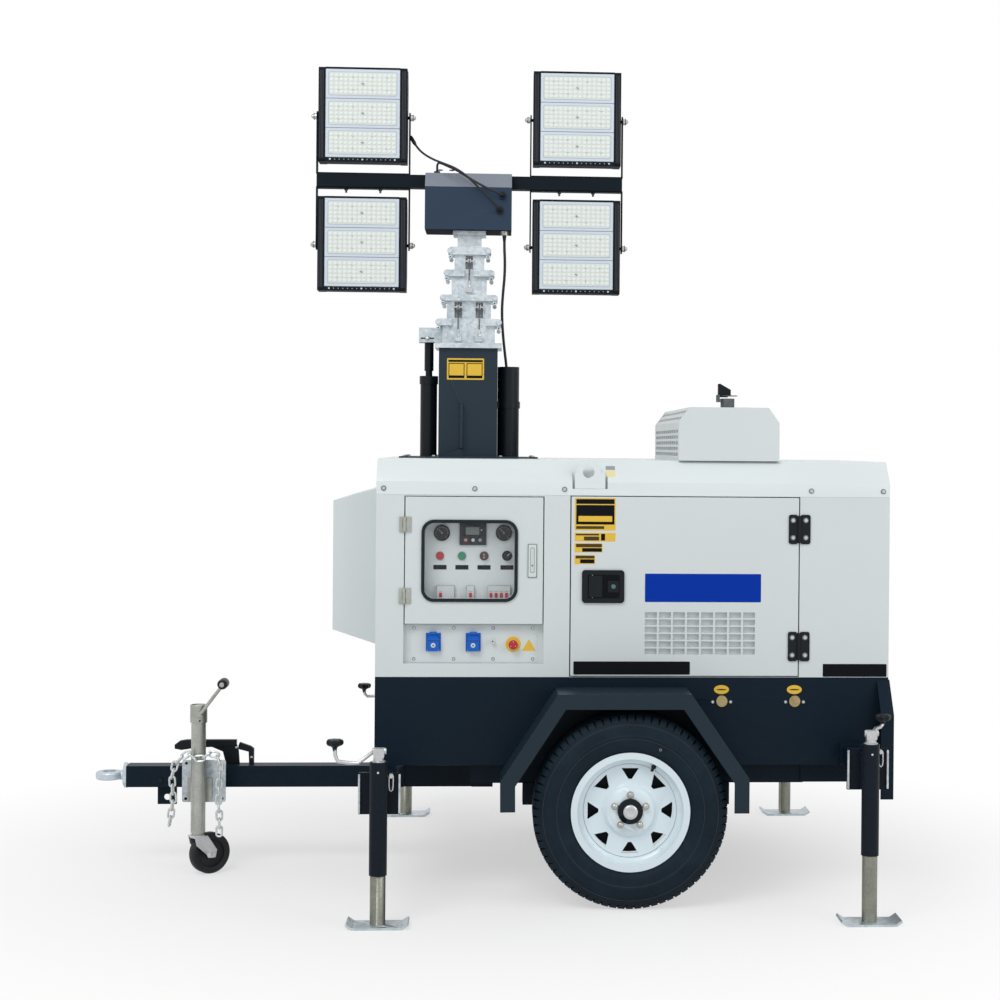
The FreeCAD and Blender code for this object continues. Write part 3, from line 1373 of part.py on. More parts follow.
def parts():
    """Every node's name and shape, placed with X from the axle."""
    model = {
        "base_frame": base_frame(),
        "end_panels": end_panels(),
        "side_frame_near": near(side_wall(True)),
        "side_frame_far": side_wall(False),
        "roof": roof(),
        "control_door": near(control_door()),
        "control_window": near(control_window()),
        "control_panel": near(control_panel()),
        "panel_instruments": panel_instruments(),
        "side_door_near": near(side_door()),
        "side_door_far": side_door(),
        "engine_block": engine_block(),
        "exhaust_box": exhaust_box(),
        "rain_cap": rain_cap(),
        "front_hood": front_hood(),
        "chassis_frame": chassis_frame(),
        "drawbar": drawbar(),
        "tow_eye": tow_eye(),
        "axle": axle(),
        "fenders": Part.makeCompound([near(fender()), fender()]),
        "rear_board": rear_board(),
        "rim_near": near(rim()),
        "rim_far": rim(),
        "tyre_near": near(tyre()),
        "tyre_far": tyre(),
        "mast_tube": mast_tube(),
        "mast_section_1": first_section(),
        "lift_cylinder": lift_cylinder(),
        "cable_tube": cable_tube(),
        "head_box": head_box(),
        "lamp_bar": lamp_bar(),
        "jockey_leg": jockey_leg(),
        "jockey_stem": jockey_stem(),
        "jockey_fork": jockey_fork(),
        "jockey_wheel": jockey_wheel(),
        "safety_chain": safety_chain(),
        "mast_cable": tube_along(mast_cable_route, mast_cable_size),
        "lamp_leads": Part.makeCompound([tube_along(route, lead_size)
                                         for route in lamp_lead_routes]),
    }
    for number in range(1, len(sections)):
        model["mast_section_%d" % (number + 1)] = mast_section(number)
    for name, x, z, _ in lamp_centres():
        model[name] = lamp(x, z)
    for end in jacks:
        for side in ("near", "far"):
            for name, maker in (("outrigger", outrigger), ("jack_tube", jack_tube),
                                ("jack_leg", jack_leg)):
                shape = maker(end)
                model["%s_%s_%s" % (name, end, side)] = near(shape) if side == "near" else shape
    return model


def main():
    os.makedirs("parts", exist_ok=True)
    for name, shape in parts().items():
        shape.translate(V(centre_shift, 0, 0))
        shape.exportStep(os.path.join("parts", name + ".step"))
    print("parts written")


if __name__ == "__main__":
    main()
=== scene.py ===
"""Looks of a towed light tower: a white generator canopy on a dark base, a telescopic mast
with four floodlights, four jacks and a jockey wheel.

Sizes of the pieces are millimetres with X counted from the wheel axle, Y across and Z up.
"""
import json
import math

import bmesh
import bpy
from mathutils import Matrix, Vector

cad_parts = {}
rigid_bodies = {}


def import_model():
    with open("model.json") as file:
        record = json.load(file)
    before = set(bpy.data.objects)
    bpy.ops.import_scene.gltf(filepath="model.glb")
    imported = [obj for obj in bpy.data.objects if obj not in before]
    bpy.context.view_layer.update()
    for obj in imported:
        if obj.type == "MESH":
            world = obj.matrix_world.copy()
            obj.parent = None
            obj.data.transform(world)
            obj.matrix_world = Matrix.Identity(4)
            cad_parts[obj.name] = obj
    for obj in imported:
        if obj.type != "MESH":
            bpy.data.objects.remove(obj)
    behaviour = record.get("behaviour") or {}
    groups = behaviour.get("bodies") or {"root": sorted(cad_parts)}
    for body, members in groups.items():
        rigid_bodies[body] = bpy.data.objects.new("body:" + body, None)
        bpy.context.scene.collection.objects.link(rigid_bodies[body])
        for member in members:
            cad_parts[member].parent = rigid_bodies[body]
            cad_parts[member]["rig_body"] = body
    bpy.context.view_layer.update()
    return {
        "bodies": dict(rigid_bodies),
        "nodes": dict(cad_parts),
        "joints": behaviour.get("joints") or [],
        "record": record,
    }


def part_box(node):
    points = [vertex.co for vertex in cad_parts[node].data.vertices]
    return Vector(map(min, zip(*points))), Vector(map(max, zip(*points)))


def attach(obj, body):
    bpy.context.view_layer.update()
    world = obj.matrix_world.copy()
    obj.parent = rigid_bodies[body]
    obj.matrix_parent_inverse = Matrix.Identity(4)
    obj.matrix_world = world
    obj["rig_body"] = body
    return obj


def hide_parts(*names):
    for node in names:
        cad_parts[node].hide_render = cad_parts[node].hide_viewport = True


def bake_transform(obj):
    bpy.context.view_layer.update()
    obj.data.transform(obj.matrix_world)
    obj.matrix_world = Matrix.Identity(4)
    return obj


bl_info = {
    "name": "Towed light tower",
    "version": (1, 0, 0),
    "blender": (4, 5, 0),
    "location": "View3D > Sidebar > Light tower",
    "description": "Finishes, fittings and cords of a towed light tower on its packed frame",
    "category": "Object",
}

for leftover in list(bpy.data.objects):
    bpy.data.objects.remove(leftover)
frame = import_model()
NODES = frame["nodes"]
BODY_OF = {name: node["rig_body"] for name, node in NODES.items()}

MM = 0.001
AXLE_X = 511.0           # from the frame's origin back to the wheel axle
NEAR_WALL = -593.0       # outer face of the near side wall
STEP_FACE = -563.0       # face of the plate that carries the sockets
SOCKET_PLATE = -564.6    # face of the screwed plate round the sockets
PANEL = -520.0           # face of the instrument plate
AIR_TOP = 1753.0         # top of the air box on the roof
BAFFLE = (40.0, 490.0, 858.0, 1038.0)    # sheet behind a grille: x and z, low and high
BAFFLE_Y = 576.0         # its inner face, from the middle
WHEEL_RADIUS = 340.0
TYRE_INNER = 605.0       # sidewalls of a tyre, from the middle
TYRE_OUTER = 790.0
LUG_HALF_ANGLE = 1.95    # degrees to each side of a lug's middle
RIM_FACE = 752.0
NUT_CIRCLE = 57.15       # from the wheel's centre to the middle of a nut
NUT_COUNT = 5
VALVE = (79.0, 151.0)    # from the wheel's centre
JOCKEY_HUB = (-1527.0, 76.0)
DRAIN_PLUGS = (335.0, 597.0)
HINGE_BOLT_Z = (868.0, 931.0, 1288.0, 1350.0)
HINGE_LOWS = (846.0, 1265.0)
HINGE_TALL = 105.0
HINGE_FACE = 598.0       # outer face of a hinge's leaf, from the middle
SIDES = (("near", -1), ("far", 1))       # each side and the way it faces across
OUTWARD = (0, -1, 0)     # the way the near side faces

# Mast and head
MAST_X = -585.0
HEAD_LOW = 2427.0
HEAD_FACE_TOP = 2589.0
HEAD_HALF = 100.0
BAR_LOW = 2592.0
BAR_HIGH = 2642.0
# collar: body, half its width, underside and top
COLLARS = [("mast_stage_1", 115.0, 2062.0, 2088.0), ("mast_stage_2", 98.5, 2157.0, 2180.0),
           ("mast_stage_3", 85.5, 2251.0, 2276.0), ("mast_stage_4", 72.0, 2335.0, 2364.0)]
ROPE_WRAP = 12.0         # from a sheave's centre to the middle of its rope
ROPE_RADIUS = 1.7
# rope: name, x, y, body with the sheave, body with the anchor, heights of anchor and sheave
ROPES = [("mast_rope_left", -625.0, -103.5, "mast_stage_2", "mast_stage_1", 2022.0, 2133.0),
         ("mast_rope_right", -545.0, -103.5, "mast_stage_2", "mast_stage_1", 2022.0, 2133.0),
         ("mast_rope_upper", -585.0, -72.0, "mast_stage_4", "mast_stage_3", 2210.0, 2311.0)]

# window behind a sheave: body, x, y of its dark back, bottom and top
WINDOWS = [("mast_stage_2", -625.0, -76.5, 2093.0, 2153.0),
           ("mast_stage_2", -545.0, -76.5, 2093.0, 2153.0),
           ("mast_stage_4", -585.0, -50.0, 2280.0, 2331.0)]

# Lamps
LAMP_SPREAD = 408.0
LAMP_HEIGHT = 358.0
LAMP_FACE_Y = -62.0
UPPER_PIVOT = 2862.0
LOWER_PIVOT = 2372.0
MODULE_START = 71.8      # from the lamp's lower edge to the middle of the first module
MODULE_PITCH = 111.6
LENS_FACE_Y = -61.0
LENS_FIELD_Y = -61.8
LENS_PITCH = (18.2, 15.9)
RIDGES = (150.0, 155.5, 161.0)       # from the lamp's middle to each ridge of a cheek
NUT_SEAT = 187.5

# Instruments
GAUGES = ((-667.0, 1295.0), (-446.0, 1296.0))
TICKS = 13
CONTROLLER = (-556.0, 1292.0)
BUTTON_X = (-673.0, -595.0, -516.0, -434.0)
BUTTONS = dict(zip(BUTTON_X, ("red_plastic", "green_plastic", "maroon_plastic",
                              "satin_black")))
BUTTON_Z = 1213.0
LABEL_Z = 1172.0
BREAKERS = ((-683.0, -622.0), (-576.0, -551.0), (-501.0, -422.0))
TOGGLES = (-670.0, -563.5, -490.5, -472.0, -453.5, -435.0)
SOCKET_X = (-693.0, -552.0)
SOCKET_FACE = -583.0
STOP_FACE = -586.5

# Making of meshes
WELD = 0.00002           # metres within which the corners of a node are one
FLAT_ANGLE = 0.5         # degrees up to which neighbouring faces are one flat face
EDGE_ANGLE = 40          # degrees from which an edge is eased
EDGE_STEPS = 2


def place(x, y, z):
    """A point of the object as a place in the frame, in metres."""
    return Vector(((x + AXLE_X) * MM, y * MM, z * MM))


def colour(red, green, blue):
    """A colour as seen on screen, 0 to 255, turned into the light that it reflects."""
    def light(value):
        share = value / 255
        return share / 12.92 if share <= 0.04045 else ((share + 0.055) / 1.055) ** 2.4
    return (light(red), light(green), light(blue), 1.0)


# Node trees


class Tree:
    """Short calls for adding and joining nodes in one node tree."""

    def __init__(self, tree):
        self.tree = tree

    def add(self, kind, links=None, **settings):
        """A node with its settings; links gives each socket a value or another's output."""
        node = self.tree.nodes.new(kind)
        for key, value in settings.items():
            setattr(node, key, value)
        for socket, source in (links or {}).items():
            target = node.inputs[socket]
            if isinstance(source, bpy.types.NodeSocket):
                self.join(source, target)
            else:
                target.default_value = source
        return node

    def join(self, source, target):
        """A link between two sockets."""
        self.tree.links.new(source, target)

    def socket(self, name, kind, way, default=None, low=None, high=None):
        """A named input or output of the tree itself."""
        made = self.tree.interface.new_socket(name, in_out=way, socket_type=kind)
        if default is not None:
            made.default_value = default
        if low is not None:
            made.min_value = low
        if high is not None:
            made.max_value = high
        return made


def shader_group(name, inputs):
    """An empty shader group with Color, Roughness and Height coming out of it."""
    group = bpy.data.node_groups.new(name, "ShaderNodeTree")
    tree = Tree(group)
    for label, kind, default in inputs:
        tree.socket(label, kind, "INPUT", default)
    tree.socket("Color", "NodeSocketColor", "OUTPUT")
    tree.socket("Roughness", "NodeSocketFloat", "OUTPUT")
    tree.socket("Height", "NodeSocketFloat", "OUTPUT")
    given = tree.add("NodeGroupInput").outputs
    taken = tree.add("NodeGroupOutput").inputs
    where = tree.add("ShaderNodeTexCoord").outputs["Object"]
    return tree, given, taken, where


COLOR = "NodeSocketColor"
FLOAT = "NodeSocketFloat"


def mixed(tree, factor, first, second):
    """Blend of two colours, as a socket."""
    return tree.add("ShaderNodeMix", {0: factor, 6: first, 7: second},
                    data_type="RGBA").outputs[2]


def noise(tree, where, scale, detail, rough=0.5):
    """Cloudy values, as a socket."""
    return tree.add("ShaderNodeTexNoise", {"Vector": where, "Scale": scale, "Detail": detail,
                                           "Roughness": rough}).outputs["Fac"]


def spread_out(tree, value, low, high):
    """A value stretched so that low gives 0 and high gives 1."""
    return tree.add("ShaderNodeMapRange", {"Value": value, "From Min": low, "From Max": high,
                                           "To Min": 0.0, "To Max": 1.0}).outputs[0]


def times(tree, first, second, more=None):
    """Product of two values, with a third one added where it is given."""
    if more is None:
        return tree.add("ShaderNodeMath", {0: first, 1: second}, operation="MULTIPLY",
                        use_clamp=True).outputs[0]
    return tree.add("ShaderNodeMath", {0: first, 1: second, 2: more},
                    operation="MULTIPLY_ADD", use_clamp=True).outputs[0]


def coating_group():
    """Sprayed paint or moulded plastic: fine texture, uneven gloss and dust low down."""
    tree, given, taken, where = shader_group("Coating", [
        ("Color", COLOR, (0.8, 0.8, 0.8, 1)), ("Dust Color", COLOR, (0.30, 0.28, 0.25, 1)),
        ("Dust", FLOAT, 0.1), ("Shade", FLOAT, 0.06), ("Roughness", FLOAT, 0.4),
        ("Gloss Spread", FLOAT, 0.12), ("Grain Scale", FLOAT, 900.0)])
    grain = noise(tree, where, given["Grain Scale"], 1.0)
    broad = noise(tree, where, 2.6, 3.0)
    fine = noise(tree, where, 60.0, 5.0, 0.7)
    shade = times(tree, spread_out(tree, broad, 0.3, 0.7), given["Shade"])
    toned = mixed(tree, shade, given["Color"], (0.0, 0.0, 0.0, 1.0))
    height = tree.add("ShaderNodeSeparateXYZ", {0: where}).outputs["Z"]
    low = tree.add("ShaderNodeMapRange", {"Value": height, "From Min": 0.0, "From Max": 0.8,
                                          "To Min": 1.0, "To Max": 0.1}).outputs[0]
    dust = times(tree, times(tree, low, spread_out(tree, fine, 0.4, 0.8)), given["Dust"])
    tree.join(mixed(tree, dust, toned, given["Dust Color"]), taken["Color"])
    rough = times(tree, broad, given["Gloss Spread"], given["Roughness"])
    rougher = tree.add("ShaderNodeMath", {0: dust, 1: rough}, operation="ADD",
                       use_clamp=True).outputs[0]
    tree.join(rougher, taken["Roughness"])
    tree.join(grain, taken["Height"])
    return tree.tree


def zinc_group():
    """Zinc coat: grey crystals with a few darker runs."""
    tree, given, taken, where = shader_group("Zinc", [
        ("Light", COLOR, (0.6, 0.62, 0.64, 1)), ("Dark", COLOR, (0.34, 0.36, 0.38, 1)),
        ("Crystal Scale", FLOAT, 95.0), ("Crystals", FLOAT, 0.5), ("Roughness", FLOAT, 0.38)])
    cells = tree.add("ShaderNodeTexVoronoi", {"Vector": where, "Scale": given["Crystal Scale"]})
    cell = tree.add("ShaderNodeSeparateColor", {0: cells.outputs["Color"]}).outputs[0]
    runs = noise(tree, where, 14.0, 6.0, 0.62)
    both = tree.add("ShaderNodeMath", {0: cell, 1: given["Crystals"], 2: runs},
                    operation="MULTIPLY_ADD").outputs[0]
    mask = spread_out(tree, both, 0.35, 1.05)
    tree.join(mixed(tree, mask, given["Light"], given["Dark"]), taken["Color"])
    tree.join(times(tree, mask, 0.22, given["Roughness"]), taken["Roughness"])
    tree.join(both, taken["Height"])
    return tree.tree


def rubber_group():
    """Black rubber with a grey bloom and a matt, slightly scuffed skin."""
    tree, given, taken, where = shader_group("Rubber", [
        ("Color", COLOR, (0.02, 0.02, 0.022, 1)), ("Bloom", COLOR, (0.09, 0.088, 0.085, 1)),
        ("Bloom Amount", FLOAT, 0.4), ("Roughness", FLOAT, 0.62), ("Grain Scale", FLOAT, 500.0)])
    wide = noise(tree, where, 9.0, 6.0, 0.7)
    fine = noise(tree, where, given["Grain Scale"], 3.0)
    share = times(tree, spread_out(tree, wide, 0.4, 0.75), given["Bloom Amount"])
    tree.join(mixed(tree, share, given["Color"], given["Bloom"]), taken["Color"])
    tree.join(times(tree, share, 0.25, given["Roughness"]), taken["Roughness"])
    tree.join(fine, taken["Height"])
    return tree.tree


GROUPS = {}
MATERIALS = {}
ROOF_HIGHLIGHT_GAIN = 1.13         # how much paler the roof is painted than the walls, a painted highlight for the light from above
ROOF_HIGHLIGHT_MOST = 0.9


def material(name, group, values, bump=0.1, depth=0.3, **constants):
    """A material whose colour, gloss and bump come from a shared group.

    bump is the Bump node's strength and depth its height in millimetres. The constants are
    the shader's own sockets, such as Metallic, with underscores for spaces.
    """
    made = bpy.data.materials.new(name)
    made.use_nodes = True
    tree = Tree(made.node_tree)
    shader = made.node_tree.nodes["Principled BSDF"]
    for key, value in constants.items():
        shader.inputs[key.replace("_", " ")].default_value = value
    effect = tree.add("ShaderNodeGroup", node_tree=GROUPS[group])
    for key, value in values.items():
        effect.inputs[key].default_value = value
    tree.join(effect.outputs["Color"], shader.inputs["Base Color"])
    tree.join(effect.outputs["Roughness"], shader.inputs["Roughness"])
    relief = tree.add("ShaderNodeBump", {"Strength": bump, "Distance": depth * MM,
                                         "Height": effect.outputs["Height"]})
    tree.join(relief.outputs["Normal"], shader.inputs["Normal"])
    MATERIALS[name] = made
    return made


def coat(name, shade, rough, dust=0.0, tone=0.06, spread=0.1, grain=900.0, bump=0.06,
         depth=0.15, **constants):
    """Paint or plastic of one colour."""
    material(name, "coating", {"Color": shade, "Dust": dust, "Shade": tone, "Roughness": rough,
                               "Gloss Spread": spread, "Grain Scale": grain}, bump, depth,
             **constants)


def zinc(name, light, dark, rough, scale=95.0, crystals=0.5, metallic=0.8):
    """Plated or bare metal of two close greys."""
    material(name, "zinc", {"Light": light, "Dark": dark, "Crystal Scale": scale,
                            "Crystals": crystals, "Roughness": rough}, 0.08, 0.2,
             Metallic=metallic)


def rubber(name, shade, bloom, amount, rough, gloss=0.3):
    """Rubber and the share of it that its grey bloom covers."""
    material(name, "rubber", {"Color": shade, "Bloom": bloom, "Bloom Amount": amount,
                              "Roughness": rough}, 0.12, 0.2, Specular_IOR_Level=gloss)


def make_materials(look):
    """Every finish of the object. look holds the main colours."""
    GROUPS["coating"] = coating_group()
    GROUPS["zinc"] = zinc_group()
    GROUPS["rubber"] = rubber_group()
    white = tuple(look.canopy_colour)
    dark = tuple(look.base_colour)
    glossy = {"Coat_Weight": 0.2, "Coat_Roughness": 0.12}
    dull = {"Specular_IOR_Level": 0.22}
    coat("canopy_white", white, 0.30, dust=0.05, tone=0.03, bump=0.04, **glossy)
    # the roof's white is the walls' white made paler: a painted highlight that stands in for the
    # light falling on the roof from above
    roof_highlight_shade = tuple(min(ROOF_HIGHLIGHT_MOST, ROOF_HIGHLIGHT_GAIN * part) for part in white[:3]) + (1.0,)
    coat("roof_white", roof_highlight_shade, 0.30, dust=0.05, tone=0.03, bump=0.04, **glossy)
    coat("box_white", white, 0.34, tone=0.03, grain=420.0, bump=0.16, depth=0.3)
    coat("base_black", dark, 0.36, dust=0.02, tone=0.10, bump=0.06, Specular_IOR_Level=0.1)
    # the mudguards' black made paler than the base's black: partly their own paint, partly a
    # painted sheen from the light above
    coat("guard_black_painted_sheen", colour(32, 46, 56), 0.28, tone=0.08, bump=0.06,
         Specular_IOR_Level=0.16)
    coat("jack_black", colour(20, 28, 38), 0.36, dust=0.02, bump=0.1, Specular_IOR_Level=0.1)
    coat("mast_black", colour(34, 49, 61), 0.26, bump=0.12, **dull)
    coat("head_blue_black", colour(40, 58, 78), 0.34, bump=0.12, **dull)
    # a pale grey that stands in for the light on the head box's upper slope: a painted highlight
    coat("head_slope", colour(126, 134, 146), 0.34, bump=0.12)
    coat("lamp_black", colour(24, 32, 38), 0.55, bump=0.2, grain=1500.0,
         Specular_IOR_Level=0.06)
    coat("cheek_grey", colour(60, 60, 68), 0.36, bump=0.1, **dull)
    # darker than the head's own paint: painted shade on the head box's underside
    coat("under_black", colour(16, 24, 34), 0.7, bump=0.1, Specular_IOR_Level=0.03)
    coat("satin_black", colour(16, 22, 28), 0.34, bump=0.1, Specular_IOR_Level=0.2)
    coat("gasket_black", colour(26, 33, 40), 0.6, dust=0.02, bump=0.15, grain=1200.0, **dull)
    coat("plate_black", colour(16, 19, 24), 0.4, Specular_IOR_Level=0.06)
    coat("plate_blue", tuple(look.plate_colour), 0.34, Specular_IOR_Level=0.06)
    coat("lock_blue", colour(70, 112, 126), 0.3)
    coat("label_yellow", colour(236, 224, 170), 0.42, **dull)
    coat("sign_yellow", colour(230, 190, 68), 0.42, **dull)
    coat("umber", colour(70, 54, 26), 0.42, **dull)
    coat("white_plastic", colour(208, 212, 212), 0.38)
    coat("grey_plastic", colour(150, 156, 160), 0.42)
    coat("dark_plastic", colour(34, 42, 48), 0.4, bump=0.15, grain=1400.0, **dull)
    coat("screen_grey", colour(112, 122, 120), 0.2)
    coat("socket_blue", colour(22, 98, 196), 0.34, **dull)
    coat("deep_blue_plastic", colour(12, 52, 124), 0.34)
    coat("red_plastic", colour(182, 28, 48), 0.3)
    coat("pink_plastic", colour(212, 130, 136), 0.3)
    coat("maroon_plastic", colour(72, 44, 46), 0.3)
    coat("green_plastic", colour(34, 136, 100), 0.3)
    coat("wheel_white", colour(222, 237, 244), 0.26, dust=0.05, Coat_Weight=0.25,
         Coat_Roughness=0.1)
    coat("lens_frame", colour(208, 218, 228), 0.36)
    coat("lens_border", colour(176, 188, 202), 0.36)
    coat("tail_red", colour(84, 14, 20), 0.25, dust=0.05, **dull)
    coat("gauge_face", colour(18, 21, 25), 0.22, **dull)
    zinc("galvanised", colour(216, 224, 228), colour(166, 178, 186), 0.36, scale=80.0,
         crystals=0.4, metallic=0.55)
    zinc("zinc_plate", colour(206, 208, 210), colour(164, 166, 166), 0.26, scale=320.0,
         crystals=0.2)
    zinc("eye_zinc", colour(210, 220, 228), colour(184, 196, 206), 0.34, scale=90.0,
         crystals=0.3, metallic=0.6)
    zinc("bolt_shade", colour(140, 144, 146), colour(104, 108, 112), 0.34, scale=320.0)
    zinc("leg_zinc", colour(146, 148, 137), colour(116, 118, 108), 0.32, scale=200.0,
         crystals=0.25)
    zinc("foot_zinc", colour(206, 216, 220), colour(170, 182, 190), 0.32, scale=80.0,
         crystals=0.35)
    zinc("nickel_grey", colour(182, 184, 178), colour(142, 144, 138), 0.3, scale=260.0,
         crystals=0.2)
    zinc("chain_zinc", colour(226, 231, 231), colour(176, 182, 182), 0.24, scale=300.0,
         crystals=0.4)
    zinc("brass", colour(184, 166, 122), colour(138, 120, 84), 0.32, scale=300.0, crystals=0.3)
    zinc("steel_rope", colour(112, 116, 118), colour(66, 70, 74), 0.4, scale=600.0)
    zinc("rope_steel", colour(96, 102, 106), colour(54, 60, 64), 0.4, scale=300.0)
    zinc("engine_iron", colour(96, 100, 104), colour(58, 62, 66), 0.5, scale=60.0,
         metallic=0.4)
    rubber("tyre_rubber", colour(14, 28, 38), colour(34, 50, 61), 0.5, 0.56, gloss=0.14)
    rubber("castor_rubber", colour(20, 23, 27), colour(48, 50, 52), 0.35, 0.55)
    rubber("cable_rubber", colour(24, 28, 34), colour(50, 54, 60), 0.25, 0.45)
    coat("lens_clear", colour(216, 222, 218), 0.16, tone=0.02, Coat_Weight=0.4,
         Coat_Roughness=0.05)
    coat("lens_dome", colour(230, 235, 230), 0.1, tone=0.0, Coat_Weight=0.6,
         Coat_Roughness=0.03)
    coat("pane", colour(226, 232, 236), 0.04, tone=0.0, bump=0.0, Alpha=0.02,
         Specular_IOR_Level=0.6)


# Mesh making


AXES = {"x": Vector((1, 0, 0)), "y": Vector((0, 1, 0)), "z": Vector((0, 0, 1))}


def rounded(x_low, x_high, z_low, z_high, corner, steps=5):
    """Outline of a rectangle with round corners, as pairs."""
    middles = ((x_high - corner, z_high - corner), (x_low + corner, z_high - corner),
               (x_low + corner, z_low + corner), (x_high - corner, z_low + corner))
    points = []
    for quarter, (x, z) in enumerate(middles):
        for step in range(steps + 1):
            angle = math.radians(90 * quarter + 90 * step / steps)
            points.append((x + corner * math.cos(angle), z + corner * math.sin(angle)))
    return points


def oval(x, z, half_x, half_z, sides=28):
    """Outline of an oval, as pairs."""
    turn = 2 * math.pi / sides
    return [(x + half_x * math.cos(turn * i), z + half_z * math.sin(turn * i))
            for i in range(sides)]


def dome(radius, rise, steps=4):
    """Profile of a low dome that stands on its own short rim."""
    points = [(0, radius)]
    for step in range(1, steps + 1):
        angle = math.pi / 2 * step / steps
        points.append((rise * math.sin(angle), radius * math.cos(angle)))
    points[-1] = (rise, 0)
    return points


def stack(rings, sides):
    """Faces of rings of points that follow each other: both ends, then the walls."""
    last = rings * sides
    faces = [tuple(range(sides)), tuple(range(last - 1, last - sides - 1, -1))]
    for low in range(0, last - sides, sides):
        for here in range(sides):
            beside = (here + 1) % sides
            faces.append((low + here, low + beside, low + sides + beside, low + sides + here))
    return faces


class Shape:
    """A mesh in the making, in millimetres from the axle, with a finish for each face."""

    def __init__(self, finish):
        self.bm = bmesh.new()
        self.finishes = []
        self.use(finish)

    def use(self, finish):
        """The finish of the faces that are added next."""
        if finish not in self.finishes:
            self.finishes.append(finish)
        self.index = self.finishes.index(finish)
        return self

    def shell(self, verts, faces):
        """Adds a closed shell and turns its faces outwards."""
        made = [self.bm.verts.new(v) for v in verts]
        added = []
        for corners in faces:
            face = self.bm.faces.new([made[i] for i in corners])
            face.material_index = self.index
            added.append(face)
        bmesh.ops.recalc_face_normals(self.bm, faces=added)
        return self

    def block(self, x, y, z):
        """A box between two values on each axis."""
        verts = [Vector((a, b, c)) for a in x for b in y for c in z]
        return self.shell(verts, [(0, 1, 3, 2), (4, 6, 7, 5), (0, 4, 5, 1), (2, 3, 7, 6),
                                  (0, 2, 6, 4), (1, 5, 7, 3)])

    def prism(self, outline, axis, low, high):
        """Extrudes an outline of pairs along x (y, z), y (x, z) or z (x, y)."""
        order = {"x": lambda a, b, t: (t, a, b), "y": lambda a, b, t: (a, t, b),
                 "z": lambda a, b, t: (a, b, t)}[axis]
        verts = [Vector(order(a, b, t)) for t in (low, high) for a, b in outline]
        return self.shell(verts, stack(2, len(outline)))

    def sheet(self, finish, outline, y_low, y_high):
        """A sheet with round corners: x low, x high, z low, z high, corner."""
        return self.use(finish).prism(rounded(*outline), "y", y_low, y_high)

    def stud(self, finish, radius, rise, spot, facing=OUTWARD, sides=16):
        """A low dome that stands out of a surface."""
        return self.use(finish).turned(dome(radius, rise), spot, facing, sides)

    def turned(self, profile, centre, axis, sides=32, closed=False):
        """Turns a profile of (along, radius) round an axis through the centre.

        closed joins the profile's last point to its first, for a ring.
        """
        along = AXES[axis] if isinstance(axis, str) else Vector(axis).normalized()
        helper = Vector((0, 0, 1)) if abs(along.z) < 0.9 else Vector((1, 0, 0))
        across = along.cross(helper).normalized()
        up = along.cross(across)
        middle = Vector(centre)
        rings = []
        verts = []
        for t, radius in profile:
            if radius < 1e-6:
                rings.append([len(verts)] * sides)
                verts.append(middle + along * t)
                continue
            rings.append(list(range(len(verts), len(verts) + sides)))
            for i in range(sides):
                angle = 2 * math.pi * i / sides
                verts.append(middle + along * t
                             + (across * math.cos(angle) + up * math.sin(angle)) * radius)
        faces = []
        pairs = list(zip(rings, rings[1:]))
        if closed:
            pairs.append((rings[-1], rings[0]))
        for a, b in pairs:
            for i in range(sides):
                j = (i + 1) % sides
                corners = [a[i], a[j], b[j], b[i]]
                kept = [c for n, c in enumerate(corners) if c not in corners[:n]]
                if len(kept) > 2:
                    faces.append(kept)
        if not closed:
            for ring in (rings[0], rings[-1]):
                if ring[0] != ring[1]:
                    faces.append(ring)
        return self.shell(verts, faces)

    def rod(self, start, end, radius, sides=20, edge=0.0):
        """A round bar from start to end, its rims eased by edge."""
        run = Vector(end) - Vector(start)
        length = run.length
        profile = [(0, radius - edge), (edge, radius), (length - edge, radius),
                   (length, radius - edge)] if edge else [(0, radius), (length, radius)]
        return self.turned(profile, start, run, sides)

    def tube(self, points, radius, sides=12):
        """A bar swept along points, bent smoothly."""
        spots = [Vector(p) for p in points]
        verts = []
        side = None
        for i, spot in enumerate(spots):
            ahead = spots[min(i + 1, len(spots) - 1)] - spots[max(i - 1, 0)]
            ahead.normalize()
            if side is None:
                side = ahead.orthogonal().normalized()
            side = (side - ahead * side.dot(ahead)).normalized()
            up = ahead.cross(side)
            for n in range(sides):
                angle = 2 * math.pi * n / sides
                verts.append(spot + (side * math.cos(angle) + up * math.sin(angle)) * radius)
        return self.shell(verts, stack(len(spots), sides))

    def ring(self, centre, axis, radius, wire, sides=28, wire_sides=10):
        """A round wire bent to a ring."""
        profile = [(wire * math.sin(2 * math.pi * i / wire_sides),
                    radius + wire * math.cos(2 * math.pi * i / wire_sides))
                   for i in range(wire_sides)]
        return self.turned(profile, centre, axis, sides, closed=True)

    def done(self, name, body, replaces=(), smooth=35.0, ease=0.0):
        """Makes the object, rides it on its body, if it has one, and hides what it replaces."""
        mesh = bpy.data.meshes.new(name)
        self.bm.transform(Matrix.Scale(MM, 4) @ Matrix.Translation((AXLE_X, 0, 0)))
        self.bm.to_mesh(mesh)
        self.bm.free()
        for finish in self.finishes:
            mesh.materials.append(MATERIALS[finish])
        return settle(name, mesh, body, replaces, smooth, ease)


def settle(name, mesh, body, replaces=(), smooth=35.0, ease=0.0):
    """Links a finished mesh at the origin, shades it and gives it to its body."""
    mesh.polygons.foreach_set("use_smooth", [True] * len(mesh.polygons))
    mesh.set_sharp_from_angle(angle=math.radians(smooth))
    made = bpy.data.objects.new(name, mesh)
    bpy.context.scene.collection.objects.link(made)
    if ease:
        bevel = made.modifiers.new("Eased edges", "BEVEL")
        bevel.width = ease * MM
        bevel.segments = EDGE_STEPS
        bevel.limit_method = "ANGLE"
        bevel.angle_limit = math.radians(EDGE_ANGLE)
        bevel.harden_normals = True
    if body:
        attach(made, body)
    if replaces:
        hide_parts(*replaces)
    return made


